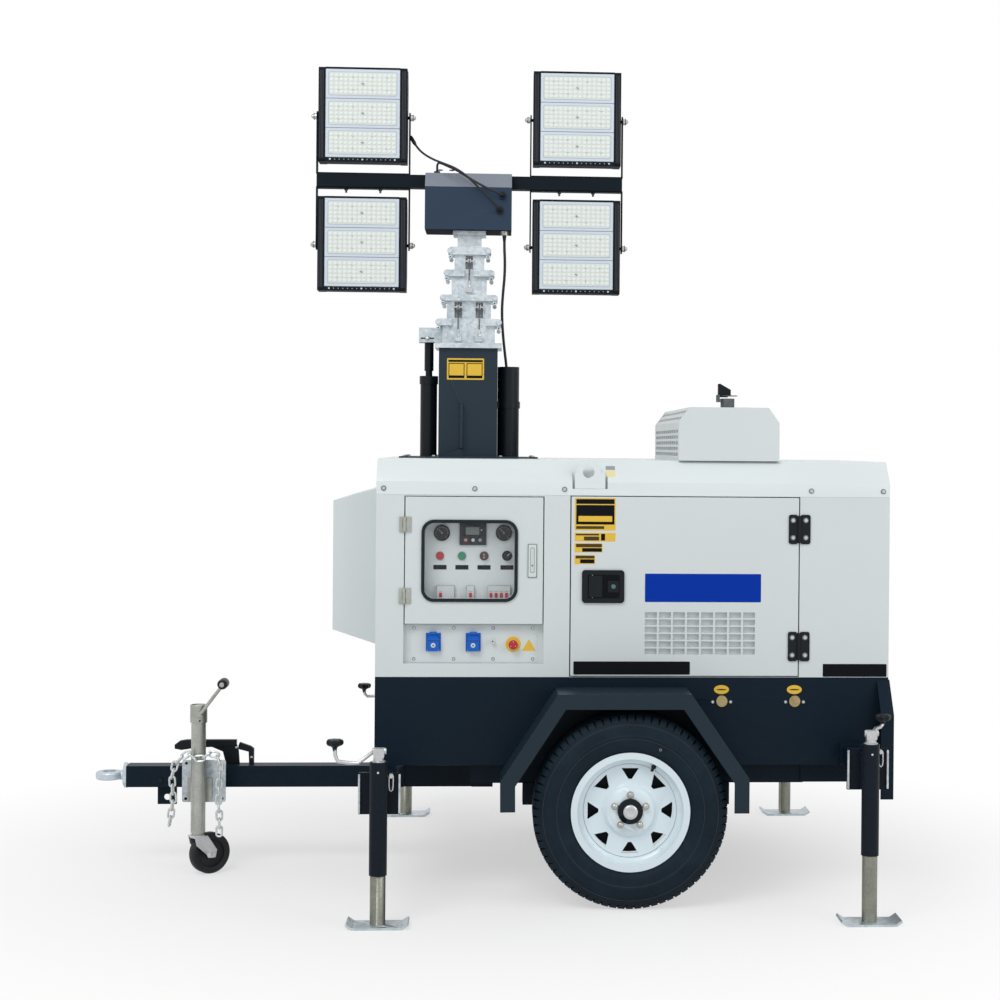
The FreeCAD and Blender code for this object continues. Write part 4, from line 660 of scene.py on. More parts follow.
class Patch:
    """A loose piece or a face of a node, in millimetres from the axle."""

    def __init__(self, spots):
        self.spots = spots
        self.low = [min(spot[i] for spot in spots) for i in range(3)]
        self.high = [max(spot[i] for spot in spots) for i in range(3)]

    def size(self, axis):
        """Extent along x, y or z, as 0, 1 or 2."""
        return self.high[axis] - self.low[axis]

    def reach(self, x, z):
        """Least and greatest distance from a line across the object at x and z."""
        far = [math.hypot(spot[0] - x, spot[2] - z) for spot in self.spots]
        return min(far), max(far)


def plain(finish):
    """One finish for the whole node."""
    return lambda patch: finish


def islands(work, by_face):
    """The faces of a mesh, one by one or gathered into loose pieces."""
    seen = set()
    for start in work.faces:
        if start in seen:
            continue
        island = [start]
        seen.add(start)
        if not by_face:
            for face in island:
                for edge in face.edges:
                    for other in edge.link_faces:
                        if other not in seen:
                            seen.add(other)
                            island.append(other)
        yield island


def dress(node, choose, ease=0.0, by_face=False):
    """A copy of a CAD node whose loose pieces, or faces, each take their own finish.

    choose gets a Patch and names its finish, or None where a finer piece stands in for it.
    """
    work = bmesh.new()
    work.from_mesh(NODES[node].data)
    bmesh.ops.remove_doubles(work, verts=work.verts, dist=WELD)
    bmesh.ops.dissolve_limit(work, angle_limit=math.radians(FLAT_ANGLE), verts=work.verts,
                             edges=work.edges)
    shift = Vector((AXLE_X, 0, 0))
    finishes = []
    left_out = []
    for island in islands(work, by_face):
        finish = choose(Patch([v.co / MM - shift for face in island for v in face.verts]))
        if finish is None:
            left_out += island
            continue
        if finish not in finishes:
            finishes.append(finish)
        for face in island:
            face.material_index = finishes.index(finish)
    bmesh.ops.delete(work, geom=left_out, context="FACES")
    mesh = bpy.data.meshes.new(node + "_finished")
    work.to_mesh(mesh)
    work.free()
    for finish in finishes:
        mesh.materials.append(MATERIALS[finish])
    return settle(node + "_finished", mesh, BODY_OF[node], (node,), ease=ease)


# Geometry Nodes


def repeat_tree(name, sizes):
    """An empty tree with an input for each size: name, kind, usual, least and most."""
    group = bpy.data.node_groups.new(name, "GeometryNodeTree")
    group.is_modifier = True
    tree = Tree(group)
    tree.socket("Geometry", "NodeSocketGeometry", "INPUT")
    for label, kind, usual, least, most in sizes:
        tree.socket(label, kind, "INPUT", usual, least, most)
    tree.socket("Geometry", "NodeSocketGeometry", "OUTPUT")
    return tree, tree.add("NodeGroupInput").outputs, tree.add("NodeGroupOutput").inputs


def stud_tree(name, finish, washer_finish=None):
    """Instances of a headed stud on every point, aimed by the points' own direction."""
    tree, given, taken = repeat_tree(name, [
        ("Head Radius", FLOAT, 0.006, 0.0, 0.1), ("Head Height", FLOAT, 0.004, 0.0, 0.1),
        ("Washer Radius", FLOAT, 0.009, 0.0, 0.1),
        ("Washer Thickness", FLOAT, 0.0012, 0.0, 0.1), ("Sides", "NodeSocketInt", 6, 3, 48)])
    both = tree.add("GeometryNodeJoinGeometry")
    for radius, height, sides, seat, look in (
            ("Head Radius", "Head Height", given["Sides"], given["Washer Thickness"], finish),
            ("Washer Radius", "Washer Thickness", 16, 0.0, washer_finish or finish)):
        disc = tree.add("GeometryNodeMeshCylinder", {"Vertices": sides, "Depth": given[height],
                                                     "Radius": given[radius]})
        lift = tree.add("ShaderNodeMath", {0: given[height], 1: 0.5, 2: seat},
                        operation="MULTIPLY_ADD")
        up = tree.add("ShaderNodeCombineXYZ", {"Z": lift.outputs[0]})
        raised = tree.add("GeometryNodeTransform", {"Geometry": disc.outputs["Mesh"],
                                                    "Translation": up.outputs[0]})
        tinted = tree.add("GeometryNodeSetMaterial", {"Geometry": raised.outputs[0],
                                                      "Material": MATERIALS[look]})
        tree.join(tinted.outputs[0], both.inputs[0])
    aim = tree.add("GeometryNodeInputNamedAttribute", {"Name": "facing"},
                   data_type="FLOAT_VECTOR")
    turn = tree.add("FunctionNodeAlignRotationToVector", {"Vector": aim.outputs["Attribute"]},
                    axis="Z")
    spread = tree.add("GeometryNodeInstanceOnPoints", {"Points": given["Geometry"],
                                                       "Instance": both.outputs[0],
                                                       "Rotation": turn.outputs[0]})
    real = tree.add("GeometryNodeRealizeInstances", {"Geometry": spread.outputs[0]})
    tree.join(real.outputs[0], taken[0])
    return tree.tree


def stud(head, height, washer, thickness, sides):
    """Sizes of a stud tree in metres: radius and height of head and washer, and sides."""
    return {"Head Radius": head, "Head Height": height, "Washer Radius": washer,
            "Washer Thickness": thickness, "Sides": sides}


def link_tree(name, finish):
    """Instances of a chain link on every point, turned by the points' own angles."""
    tree, given, taken = repeat_tree(name, [
        ("Link Length", FLOAT, 0.034, 0.0, 0.2), ("Link Width", FLOAT, 0.019, 0.0, 0.1),
        ("Wire Radius", FLOAT, 0.0033, 0.0, 0.02)])
    outline = tree.add("GeometryNodeCurvePrimitiveQuadrilateral",
                       {"Width": given["Link Length"], "Height": given["Link Width"]})
    bend = tree.add("ShaderNodeMath", {0: given["Link Width"], 1: 0.49}, operation="MULTIPLY")
    round_ends = tree.add("GeometryNodeFilletCurve", {"Curve": outline.outputs[0], "Count": 5,
                                                      "Radius": bend.outputs[0]}, mode="POLY")
    wire = tree.add("GeometryNodeCurvePrimitiveCircle", {"Resolution": 8,
                                                         "Radius": given["Wire Radius"]})
    link = tree.add("GeometryNodeCurveToMesh", {"Curve": round_ends.outputs[0],
                                                "Profile Curve": wire.outputs[0]})
    angles = tree.add("GeometryNodeInputNamedAttribute", {"Name": "facing"},
                      data_type="FLOAT_VECTOR")
    turn = tree.add("FunctionNodeEulerToRotation", {"Euler": angles.outputs["Attribute"]})
    spread = tree.add("GeometryNodeInstanceOnPoints", {"Points": given["Geometry"],
                                                       "Instance": link.outputs[0],
                                                       "Rotation": turn.outputs[0]})
    real = tree.add("GeometryNodeRealizeInstances", {"Geometry": spread.outputs[0]})
    tinted = tree.add("GeometryNodeSetMaterial", {"Geometry": real.outputs[0],
                                                  "Material": MATERIALS[finish]})
    tree.join(tinted.outputs[0], taken[0])
    return tree.tree


def grow(name, tree, spots, values, body, smooth=35.0, replaces=()):
    """Runs a Geometry Nodes tree over points with a direction, as one plain mesh."""
    mesh = bpy.data.meshes.new(name + "_points")
    mesh.from_pydata([place(*p) for p, _ in spots], [], [])
    facing = mesh.attributes.new("facing", "FLOAT_VECTOR", "POINT")
    facing.data.foreach_set("vector", [c for _, aim in spots for c in aim])
    carrier = bpy.data.objects.new(name + "_carrier", mesh)
    bpy.context.scene.collection.objects.link(carrier)
    modifier = carrier.modifiers.new("Repeat", "NODES")
    modifier.node_group = tree
    for item in tree.interface.items_tree:
        if item.in_out == "INPUT" and item.name in values:
            modifier[item.identifier] = values[item.name]
    bpy.context.view_layer.update()
    evaluated = carrier.evaluated_get(bpy.context.evaluated_depsgraph_get())
    made = bpy.data.meshes.new_from_object(evaluated)
    made.name = name
    carrier.modifiers.remove(modifier)
    bpy.data.objects.remove(carrier)
    return settle(name, made, body, replaces, smooth)


# Properties


class LIGHTTOWER_PG_looks(bpy.types.PropertyGroup):
    canopy_colour: bpy.props.FloatVectorProperty(
        name="Canopy colour", description="Paint of the canopy, doors and roof", size=4,
        default=colour(211, 219, 220), min=0, max=1, subtype="COLOR")
    base_colour: bpy.props.FloatVectorProperty(
        name="Base colour", description="Paint of the base tray, mudguards and drawbar", size=4,
        default=colour(14, 30, 43), min=0, max=1, subtype="COLOR")
    plate_colour: bpy.props.FloatVectorProperty(
        name="Side plate colour", description="Blank plate on the side door", size=4,
        default=colour(6, 54, 164), min=0, max=1, subtype="COLOR")
    lens_columns: bpy.props.IntProperty(
        name="Lens columns", description="Lenses across one lamp module", default=14, min=1,
        max=24)
    lens_rows: bpy.props.IntProperty(
        name="Lens rows", description="Lenses down one lamp module", default=5, min=1, max=12)
    lug_count: bpy.props.IntProperty(
        name="Tread lugs", description="Shoulder lugs round one tyre", default=72, min=12,
        max=120)
    tread_depth: bpy.props.FloatProperty(
        name="Tread depth", description="Depth of the tyre's grooves", default=0.008, min=0.001,
        max=0.02, unit="LENGTH", subtype="DISTANCE")


class LIGHTTOWER_PG_light(bpy.types.PropertyGroup):
    key_power: bpy.props.FloatProperty(
        name="Key light", description="Power of the large lamp in front", default=235.0, min=0,
        unit="POWER")
    fill_power: bpy.props.FloatProperty(
        name="Fill light", description="Power of the lamp at the other side", default=85.0, min=0,
        unit="POWER")
    sky: bpy.props.FloatProperty(
        name="Sky", description="Strength of the even light from all round", default=0.5, min=0,
        max=2, subtype="FACTOR")
    floor_size: bpy.props.FloatProperty(
        name="Floor size", description="Width of the pale floor", default=60.0, min=5,
        unit="LENGTH", subtype="DISTANCE")


def looks():
    """The sizes and colours set for the object."""
    return bpy.context.scene.light_tower_looks


# Operators


# camera: place from the axle and turn, fitted to the view of the object
CAMERA_SPOT = (-463.4, -7410.9, 1609.2)
CAMERA_YAW = 0.0615
CAMERA_PITCH = 0.0053
CAMERA_ROLL = 0.0084
FOCAL_SHARE = 1.92047
OPTICAL_SHIFT = (-0.11789, -0.04342)
SENSOR = 36.0


class LIGHTTOWER_OT_camera(bpy.types.Operator):
    """Camera at the viewing angle, with the small shift that the framing needs."""
    bl_idname = "lighttower.camera"
    bl_label = "Camera"

    def execute(self, context):
        lens = bpy.data.cameras.new("Camera")
        lens.sensor_width = SENSOR
        lens.lens = FOCAL_SHARE * SENSOR
        lens.shift_x, lens.shift_y = OPTICAL_SHIFT
        lens.clip_end = 200
        eye = bpy.data.objects.new("Camera", lens)
        ahead = Vector((math.sin(CAMERA_YAW) * math.cos(CAMERA_PITCH),
                        math.cos(CAMERA_YAW) * math.cos(CAMERA_PITCH),
                        -math.sin(CAMERA_PITCH)))
        right = Vector((math.cos(CAMERA_YAW), -math.sin(CAMERA_YAW), 0))
        up = right.cross(ahead)
        turned = right * math.cos(CAMERA_ROLL) + up * math.sin(CAMERA_ROLL)
        upright = up * math.cos(CAMERA_ROLL) - right * math.sin(CAMERA_ROLL)
        basis = Matrix((turned, upright, -ahead)).transposed()
        eye.matrix_world = Matrix.Translation(place(*CAMERA_SPOT)) @ basis.to_4x4()
        context.scene.collection.objects.link(eye)
        context.scene.camera = eye
        return {"FINISHED"}


MAST_CABLE = [(-452, -55, 2411), (-452, -55, 2366), (-449, -54, 2312), (-450, -48, 2255),
              (-455, -40, 2198), (-459, -31, 2141), (-458, -24, 2085), (-454, -16, 2030),
              (-448, -9, 1975), (-441, -4, 1920), (-435, -1, 1866), (-432, 0, 1815)]
LAMP_LEADS = [
    [(-801, -14, 2768), (-785, -28, 2741), (-757, -56, 2714), (-720, -90, 2690),
     (-680, -118, 2672), (-640, -136, 2655), (-603, -146, 2630), (-569, -151, 2599),
     (-538, -152, 2568), (-511, -151, 2541), (-490, -147, 2520), (-476, -139, 2507),
     (-470, -126, 2501), (-470, -108, 2501)],
    [(-460, -108, 2557), (-460, -124, 2557), (-467, -135, 2559), (-484, -138, 2565),
     (-508, -136, 2575), (-538, -131, 2591), (-572, -122, 2611), (-608, -108, 2634),
     (-640, -90, 2655), (-668, -66, 2670), (-690, -41, 2683), (-704, -19, 2690),
     (-711, -3, 2687), (-712, 4, 2675), (-712, 4, 2660)],
]
# cord: name, route, diameter, length of the tube in its node, nodes it stands for
CORDS = [("mast_cable_flex", MAST_CABLE, 10.4, 601.0, ("mast_cable",)),
         ("lamp_lead_upper", LAMP_LEADS[0], 8.3, 494.0, ("lamp_leads",)),
         ("lamp_lead_top", LAMP_LEADS[1], 8.3, 382.0, ())]


# strain relief: where it starts, which way it runs, radius of its foot and its length
RELIEFS = [((-460, -107, 2557), (0, -1, 0), 7.6, 17), ((-470, -107, 2501), (0, -1, 0), 7.6, 17),
           ((-452, -55, 2420), (0, 0, -1), 9.0, 34), ((-801.5, -13.4, 2768.8),
                                                     (0.466, -0.407, -0.786), 7.6, 18)]


class LIGHTTOWER_OT_cords(bpy.types.Operator):
    """Mast cable and the two lamp leads, each one smooth line from gland to gland."""
    bl_idname = "lighttower.cords"
    bl_label = "Cords"

    def execute(self, context):
        for name, route, size, length, nodes in CORDS:
            curve = bpy.data.curves.new(name, "CURVE")
            curve.dimensions = "3D"
            line = curve.splines.new("NURBS")
            line.points.add(len(route) - 1)
            for point, spot in zip(line.points, route):
                point.co = (*place(*spot), 1)
            line.order_u = 3
            line.use_endpoint_u = True
            curve.resolution_u = 8
            curve.bevel_depth = size / 2 * MM
            curve.bevel_resolution = 4
            curve.use_fill_caps = True
            curve.materials.append(MATERIALS["cable_rubber"])
            cord = bpy.data.objects.new(name, curve)
            context.scene.collection.objects.link(cord)
            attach(cord, "mast_head")
            if nodes:
                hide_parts(*nodes)
            place(*route[0])
        sleeves = Shape("gasket_black")
        for spot, along, size, reach in RELIEFS:
            profile = [(0, size * 0.95), (2, size * 1.0), (reach * 0.35, size * 0.86),
                       (reach, size * 0.56)]
            sleeves.turned(profile, spot, along, sides=24)
        sleeves.done("strain_reliefs", "mast_head")
        return {"FINISHED"}


# finish of every CAD node that keeps its own mesh
NODE_FINISH = {
    "canopy_white": ["end_panels", "control_panel"],
    "base_black": ["chassis_frame", "axle"],
    # the mudguards' black holds a painted sheen
    "guard_black_painted_sheen": ["fenders"],
    "engine_iron": ["engine_block"],
    "pane": ["control_window"],
    "satin_black": ["lift_cylinder", "cable_tube"],
    "eye_zinc": ["tow_eye"],
    "zinc_plate": ["jockey_fork"],
    "nickel_grey": ["jockey_stem"],
}


class LIGHTTOWER_OT_finishes(bpy.types.Operator):
    """Finishes of the nodes that keep their own mesh."""
    bl_idname = "lighttower.finishes"
    bl_label = "Node finishes"

    def execute(self, context):
        given = {name: finish for finish, names in NODE_FINISH.items() for name in names}
        for name, node in NODES.items():
            node.data.materials.clear()
            node.data.materials.append(MATERIALS[given.get(name, "base_black")])
        return {"FINISHED"}


class LIGHTTOWER_OT_panels(bpy.types.Operator):
    """Canopy, doors, base and boards with eased edges and their hinges in their own finish."""
    bl_idname = "lighttower.panels"
    bl_label = "Canopy and base"

    def execute(self, context):
        def wall(patch):
            """White sheet and nickel at the front; what is small elsewhere is made anew."""
            if patch.size(2) > 300:
                return "canopy_white"
            return "nickel_grey" if patch.low[0] < -700 else None

        def control(patch):
            """White sheet, black seal of the window, white handle and nickel hinges."""
            if patch.size(0) > 400:
                return "canopy_white"
            if patch.size(0) > 200:
                return "gasket_black"
            return "white_plastic" if patch.low[0] > -500 else "nickel_grey"

        def base(patch):
            """Black tray with the brass plugs that stand out of its sides."""
            outside = abs(patch.low[1] + patch.high[1]) / 2 > -NEAR_WALL + 0.5
            return "brass" if outside and patch.size(0) < 45 else "base_black"

        def cap(patch):
            if patch.high[2] < AIR_TOP + 66:
                return "steel_rope"
            return "red_plastic" if patch.high[0] < 400 else "satin_black"

        for side, sign in SIDES:
            dress("side_frame_" + side, wall, 1.2)
            dress("side_door_" + side, wall, 1.2)
            self.baffle(side, sign)
            self.latch(side, sign)
            self.hinges(side, sign)
        dress("control_door", control, 1.2)
        # the roof takes the paler white, a painted highlight
        dress("roof", plain("roof_white"), 1.5)
        dress("front_hood", plain("canopy_white"), 1.0)
        dress("base_frame", base, 1.2, by_face=True)
        dress("rear_board", lambda patch: "base_black" if patch.size(1) > 400 else None,
              0.8)
        dress("exhaust_box", lambda patch: "box_white" if patch.size(1) > 400
              else "steel_rope", 1.0)
        self.handle()
        self.tails()
        dress("rain_cap", cap, by_face=True)
        dress("drawbar", lambda patch: None if patch.low[2] > 380 else "base_black",
              0.8)
        self.brake_lever()
        return {"FINISHED"}

    @staticmethod
    def latch(side, sign):
        """Recessed paddle latch of a side door with its lock."""
        face = sign * -NEAR_WALL
        frame = Shape("satin_black")
        for finish, outline, inner, outer in (
                ("satin_black", (-168, -17, 1052, 1169, 12), -1, 8),
                ("plate_black", (-148, -34, 1069, 1153, 6), 7, 8.6),
                ("satin_black", (-143, -96, 1073, 1149, 3), 8, 11.5),
                ("satin_black", (-76, -37, 1090, 1131, 4), 8, 11)):
            frame.sheet(finish, outline, face + sign * inner, face + sign * outer)
        frame.stud("lock_blue", 8, 1.2, (-56, face + sign * 11, 1111), (0, sign, 0), 24)
        for z in (1071.5, 1151):
            frame.stud("zinc_plate", 1.6, 0.8, (-131, face + sign * 8.5, z), (0, sign, 0), 10)
        frame.done("latch_" + side, BODY_OF["side_door_" + side], ease=0.8)

    @staticmethod
    def hinges(side, sign):
        """Black hinges of a side door: leaf and barrel on the door, leaf on the post."""
        face = sign * -NEAR_WALL
        leaf = Shape("satin_black")
        post = Shape("satin_black")
        for low in HINGE_LOWS:
            high = low + HINGE_TALL
            for part, x_low, x_high in ((leaf, 571, 604), (post, 613, 649)):
                part.sheet("satin_black", (x_low, x_high, low, high, 8), face - sign,
                           face + sign * 5)
            leaf.rod((609, face + sign * 6, low + 4), (609, face + sign * 6, high - 4), 6.5,
                     edge=1)
        leaf.done("hinge_leaf_" + side, BODY_OF["side_door_" + side], ease=0.8)
        post.done("hinge_post_" + side, "root", ease=0.8)

    @staticmethod
    def handle():
        """Flush handle of the control door: frame, paddle and keyhole."""
        trim = Shape("screen_grey")
        rim = (-360, -329, 1142, 1260)
        paddle = (-352, -337, 1158, 1248)
        for finish, (x_low, x_high, z_low, z_high), corner, wider, depth in (
                ("screen_grey", rim, 2, 0.6, 3.6), ("canopy_white", rim, 2, -1.8, 4.2),
                ("screen_grey", paddle, 6, 0, 4.7), ("white_plastic", paddle, 6, -1.4, 5.4)):
            trim.sheet(finish, (x_low - wider, x_high + wider, z_low - wider, z_high + wider,
                                corner), NEAR_WALL - depth, NEAR_WALL - 1)
        trim.stud("screen_grey", 3.6, 0.8, (-344.5, NEAR_WALL - 5.2, 1184), sides=18)
        trim.done("control_door_handle", BODY_OF["control_door"])

    @staticmethod
    def tails():
        """Tail lamps on the light board and the ends of the chassis rails."""
        lamps = Shape("tail_red")
        for sign in (-1, 1):
            lamps.block((938, 948), (sign * 430, sign * 640), (430, 530))
        lamps.done("tail_lamps", "root", ease=2.0)
        rails = Shape("base_black")
        for sign in (-1, 1):
            rails.block((630, 806), (sign * 474, sign * 533), (403, 476))
        rails.done("rail_ends", "root", ease=1.0)

    @staticmethod
    def brake_lever():
        """Parking brake on the drawbar: handle, bracket and ratchet plate."""
        lever = Shape("satin_black")
        lever.prism([(-1693, 440), (-1668, 435), (-1610, 444), (-1520, 448), (-1460, 454),
                     (-1460, 474), (-1650, 474), (-1674, 470), (-1694, 455)], "y", 8, 30)
        lever.prism([(-1568, 452), (-1512, 428), (-1500, 381), (-1448, 381), (-1452, 432),
                     (-1460, 458), (-1568, 458)], "y", 14, 24)
        lever.prism([(-1453, 452), (-1453, 438), (-1414, 428), (-1412, 381), (-1394, 381),
                     (-1394, 440), (-1406, 449), (-1448, 464)], "y", 10, 28)
        lever.rod((-1737, -38, 329), (-1737, -47, 329), 9, edge=1)
        lever.rod((-1695, -38, 333), (-1695, -47, 333), 9, edge=1)
        lever.stud("zinc_plate", 6, 3, (-1460, 14.2, 444))
        lever.stud("zinc_plate", 6, 3, (-1402, 10.2, 406))
        lever.sheet("galvanised", (-1642, -1480, 262, 420, 8), -131.6, -126)
        for x, z in ((-1628, 275), (-1626, 408), (-1493, 275), (-1497, 408)):
            lever.stud("satin_black", 6, 2.5, (x, -131.4, z))
        lever.done("brake_lever", "root", ease=0.8)

    @staticmethod
    def baffle(side, sign):
        """Pale sheet behind a side door's grille."""
        back = Shape("canopy_white")
        back.sheet("canopy_white", (*BAFFLE, 10), sign * BAFFLE_Y, sign * (BAFFLE_Y + 2))
        back.done("grille_baffle_" + side, BODY_OF["side_door_" + side],
                  ease=0.4)


class LIGHTTOWER_OT_instruments(bpy.types.Operator):
    """Gauges, controller, buttons, breakers, sockets and stop button with their details."""
    bl_idname = "lighttower.instruments"
    bl_label = "Instruments"

    def execute(self, context):
        dress("panel_instruments", self.finish, 0.5)
        face = Shape("satin_black")
        for x, z in GAUGES:
            self.gauge(face, x, z)
        self.controller(face)
        for x in BUTTON_X:
            face.use("nickel_grey").ring((x, PANEL - 1.2, BUTTON_Z), "y", 14.5, 1.6)
            face.sheet("plate_black", (x - 23.5, x + 23.5, LABEL_Z - 8, LABEL_Z + 8, 1),
                       PANEL - 0.9, PANEL + 0.2)
        x = BUTTON_X[3]
        face.use("white_plastic").rod((x + 1, PANEL - 20.4, BUTTON_Z + 1),
                                      (x + 9, PANEL - 20.4, BUTTON_Z + 11), 1.1, sides=8)
        for rise in (-5, 5):
            face.stud("grey_plastic", 3.2, 1.4, (BUTTON_X[2], PANEL - 14, BUTTON_Z + rise))
        for x_low, x_high in BREAKERS:
            face.sheet("grey_plastic", (x_low - 1.2, x_high + 1.2, 1061, 1107.5, 1.5),
                       PANEL - 11.4, PANEL + 0.2)
        for x in TOGGLES:
            face.sheet("red_plastic", (x - 5, x + 5, 1066, 1082, 2), PANEL - 15, PANEL - 11)
            face.use("grey_plastic").block((x - 6.5, x + 6.5), (PANEL - 12.6, PANEL - 11.5),
                                           (1086, 1088))
        self.sockets(face)
        face.done("instrument_details", BODY_OF["panel_instruments"],
                  ease=0.25)
        return {"FINISHED"}

    @staticmethod
    def gauge(face, x, z):
        """Rim, ticks, needle and hub of a dial."""
        face.use("satin_black").ring((x, PANEL - 8, z), "y", 26.5, 2.4, sides=36)
        face.use("white_plastic")
        middle = Vector((x, PANEL - 8.4, z))
        for tick in range(TICKS):
            angle = math.radians(225 - 270 * tick / (TICKS - 1))
            along = Vector((math.cos(angle), 0, math.sin(angle)))
            face.rod(middle + along * 19, middle + along * (22.5 if tick % 2 else 23.5), 0.6,
                     sides=6)
        face.rod((x, PANEL - 9.2, z), (x - 11, PANEL - 9.2, z + 13), 0.7, sides=6)
        face.use("grey_plastic").rod((x, PANEL - 8, z), (x, PANEL - 11, z), 3.2, edge=0.8)

    @staticmethod
    def finish(patch):
        """Finish of an instrument by its height and place on the plate."""
        x = (patch.low[0] + patch.high[0]) / 2
        z = (patch.low[2] + patch.high[2]) / 2
        if z > 1250:
            return "dark_plastic" if patch.size(0) > 70 else "gauge_face"
        if z > 1190:
            return BUTTONS[min(BUTTON_X, key=lambda spot: abs(spot - x))]
        if z > 1000 or patch.size(0) < 20:
            return "white_plastic"
        return "sign_yellow" if x > -450 else "socket_blue"

    @staticmethod
    def controller(face):
        """Raised frame, grey screen and keys of the controller."""
        x, z = CONTROLLER
        top = PANEL - 9
        face.sheet("satin_black", (x - 38, x + 38, z - 8, z + 30, 5), top - 1.2, top + 0.3)
        face.sheet("screen_grey", (x - 26, x + 22, z - 3, z + 24, 1.5), top - 1.9, top - 1)
        face.sheet("grey_plastic", (x + 27, x + 33, z + 11, z + 17, 1), top - 1.9, top - 1)
        for shift, finish in ((-26, "pink_plastic"), (0, "white_plastic"), (25, "grey_plastic")):
            face.stud(finish, 6.5, 1.6, (x + shift, top + 0.1, z - 22), sides=20)

    @staticmethod
    def sockets(face):
        """Lids of the sockets, the red stop button and the screws of the plate."""
        for x in SOCKET_X:
            face.sheet("socket_blue", (x - 21, x + 21, 880, 926, 5), SOCKET_FACE - 3.5,
                       SOCKET_FACE + 0.5)
            face.use("deep_blue_plastic").block((x - 24, x + 24),
                                                (SOCKET_FACE - 4, SOCKET_FACE + 0.5),
                                                (914, 917))
            face.sheet("socket_blue", (x - 13, x + 13, 938, 947, 2), SOCKET_FACE - 5,
                       SOCKET_FACE + 6)
            face.stud("white_plastic", 8.5, 0.9, (x, SOCKET_FACE - 3.4, 899), sides=24)
            face.stud("dark_plastic", 3, 0.5, (x, SOCKET_FACE - 4.2, 899), sides=12)
            for shift in (-19, 19):
                face.stud("white_plastic", 2.6, 1.0, (x + shift, SOCKET_FACE, 882), sides=12)
        face.stud("dark_plastic", 3.4, 0.6, (-483, -579, 913))
        face.sheet("canopy_white", (-775, -325, 836, 969, 1), SOCKET_PLATE, STEP_FACE + 0.5)
        stop = (-410.0, STOP_FACE, 902.0)
        face.use("red_plastic").turned([(0, 11), (1.5, 11.5), (2.2, 16), (4.4, 16.6), (5.4, 14),
                                        (5.8, 0)], stop, OUTWARD, sides=36)
        for turn in range(3):
            angle = math.radians(90 + 120 * turn)
            spot = Vector(stop) + Vector((10 * math.cos(angle), -5.6, 10 * math.sin(angle)))
            face.stud("white_plastic", 1.7, 0.4, spot, sides=10)


# crank of each jack, from the gearhead to the knob's foot: across, towards the body, up,
# all from the top of the jack's tube
CRANKS = {
    "front_near": [(-10, 0, 40), (-26, 0, 28), (-68, 0, -4), (-100, 0, -3), (-136, 0, 2),
                   (-144, 0, 22), (-146, 0, 48)],
    "front_far": [(-10, 0, 40), (-36, 0, 26), (-84, 0, -10), (-135, 0, -34), (-170, 0, -35),
                  (-181, 0, -24), (-184, 0, -6)],
    "rear_near": [(6, 4, 36), (22, 60, 36), (38, 112, 36), (58, 132, 38), (67, 137, 46),
                  (68, 138, 54)],
}
CRANKS["rear_far"] = CRANKS["rear_near"]
JACK_Y = 973.0
# knob of a crank, from its foot up: height, radius and how far its lobes stand out
KNOB = [(-12, 6, 0.09), (0, 8, 0.09), (4, 13, 0.09), (8, 23, 0.09), (14, 27, 0.09),
        (22, 27, 0.09), (27, 23, 0.09), (28, 8, 0.0)]
KNOB_LOBES = 7
KNOB_SIDES = 42
# jacks of each end: x, middle height of the bracket, top of the tube
JACK_ENDS = (("front", -858.0, 435.0, 550.0), ("rear", 800.0, 514.0, 608.0))


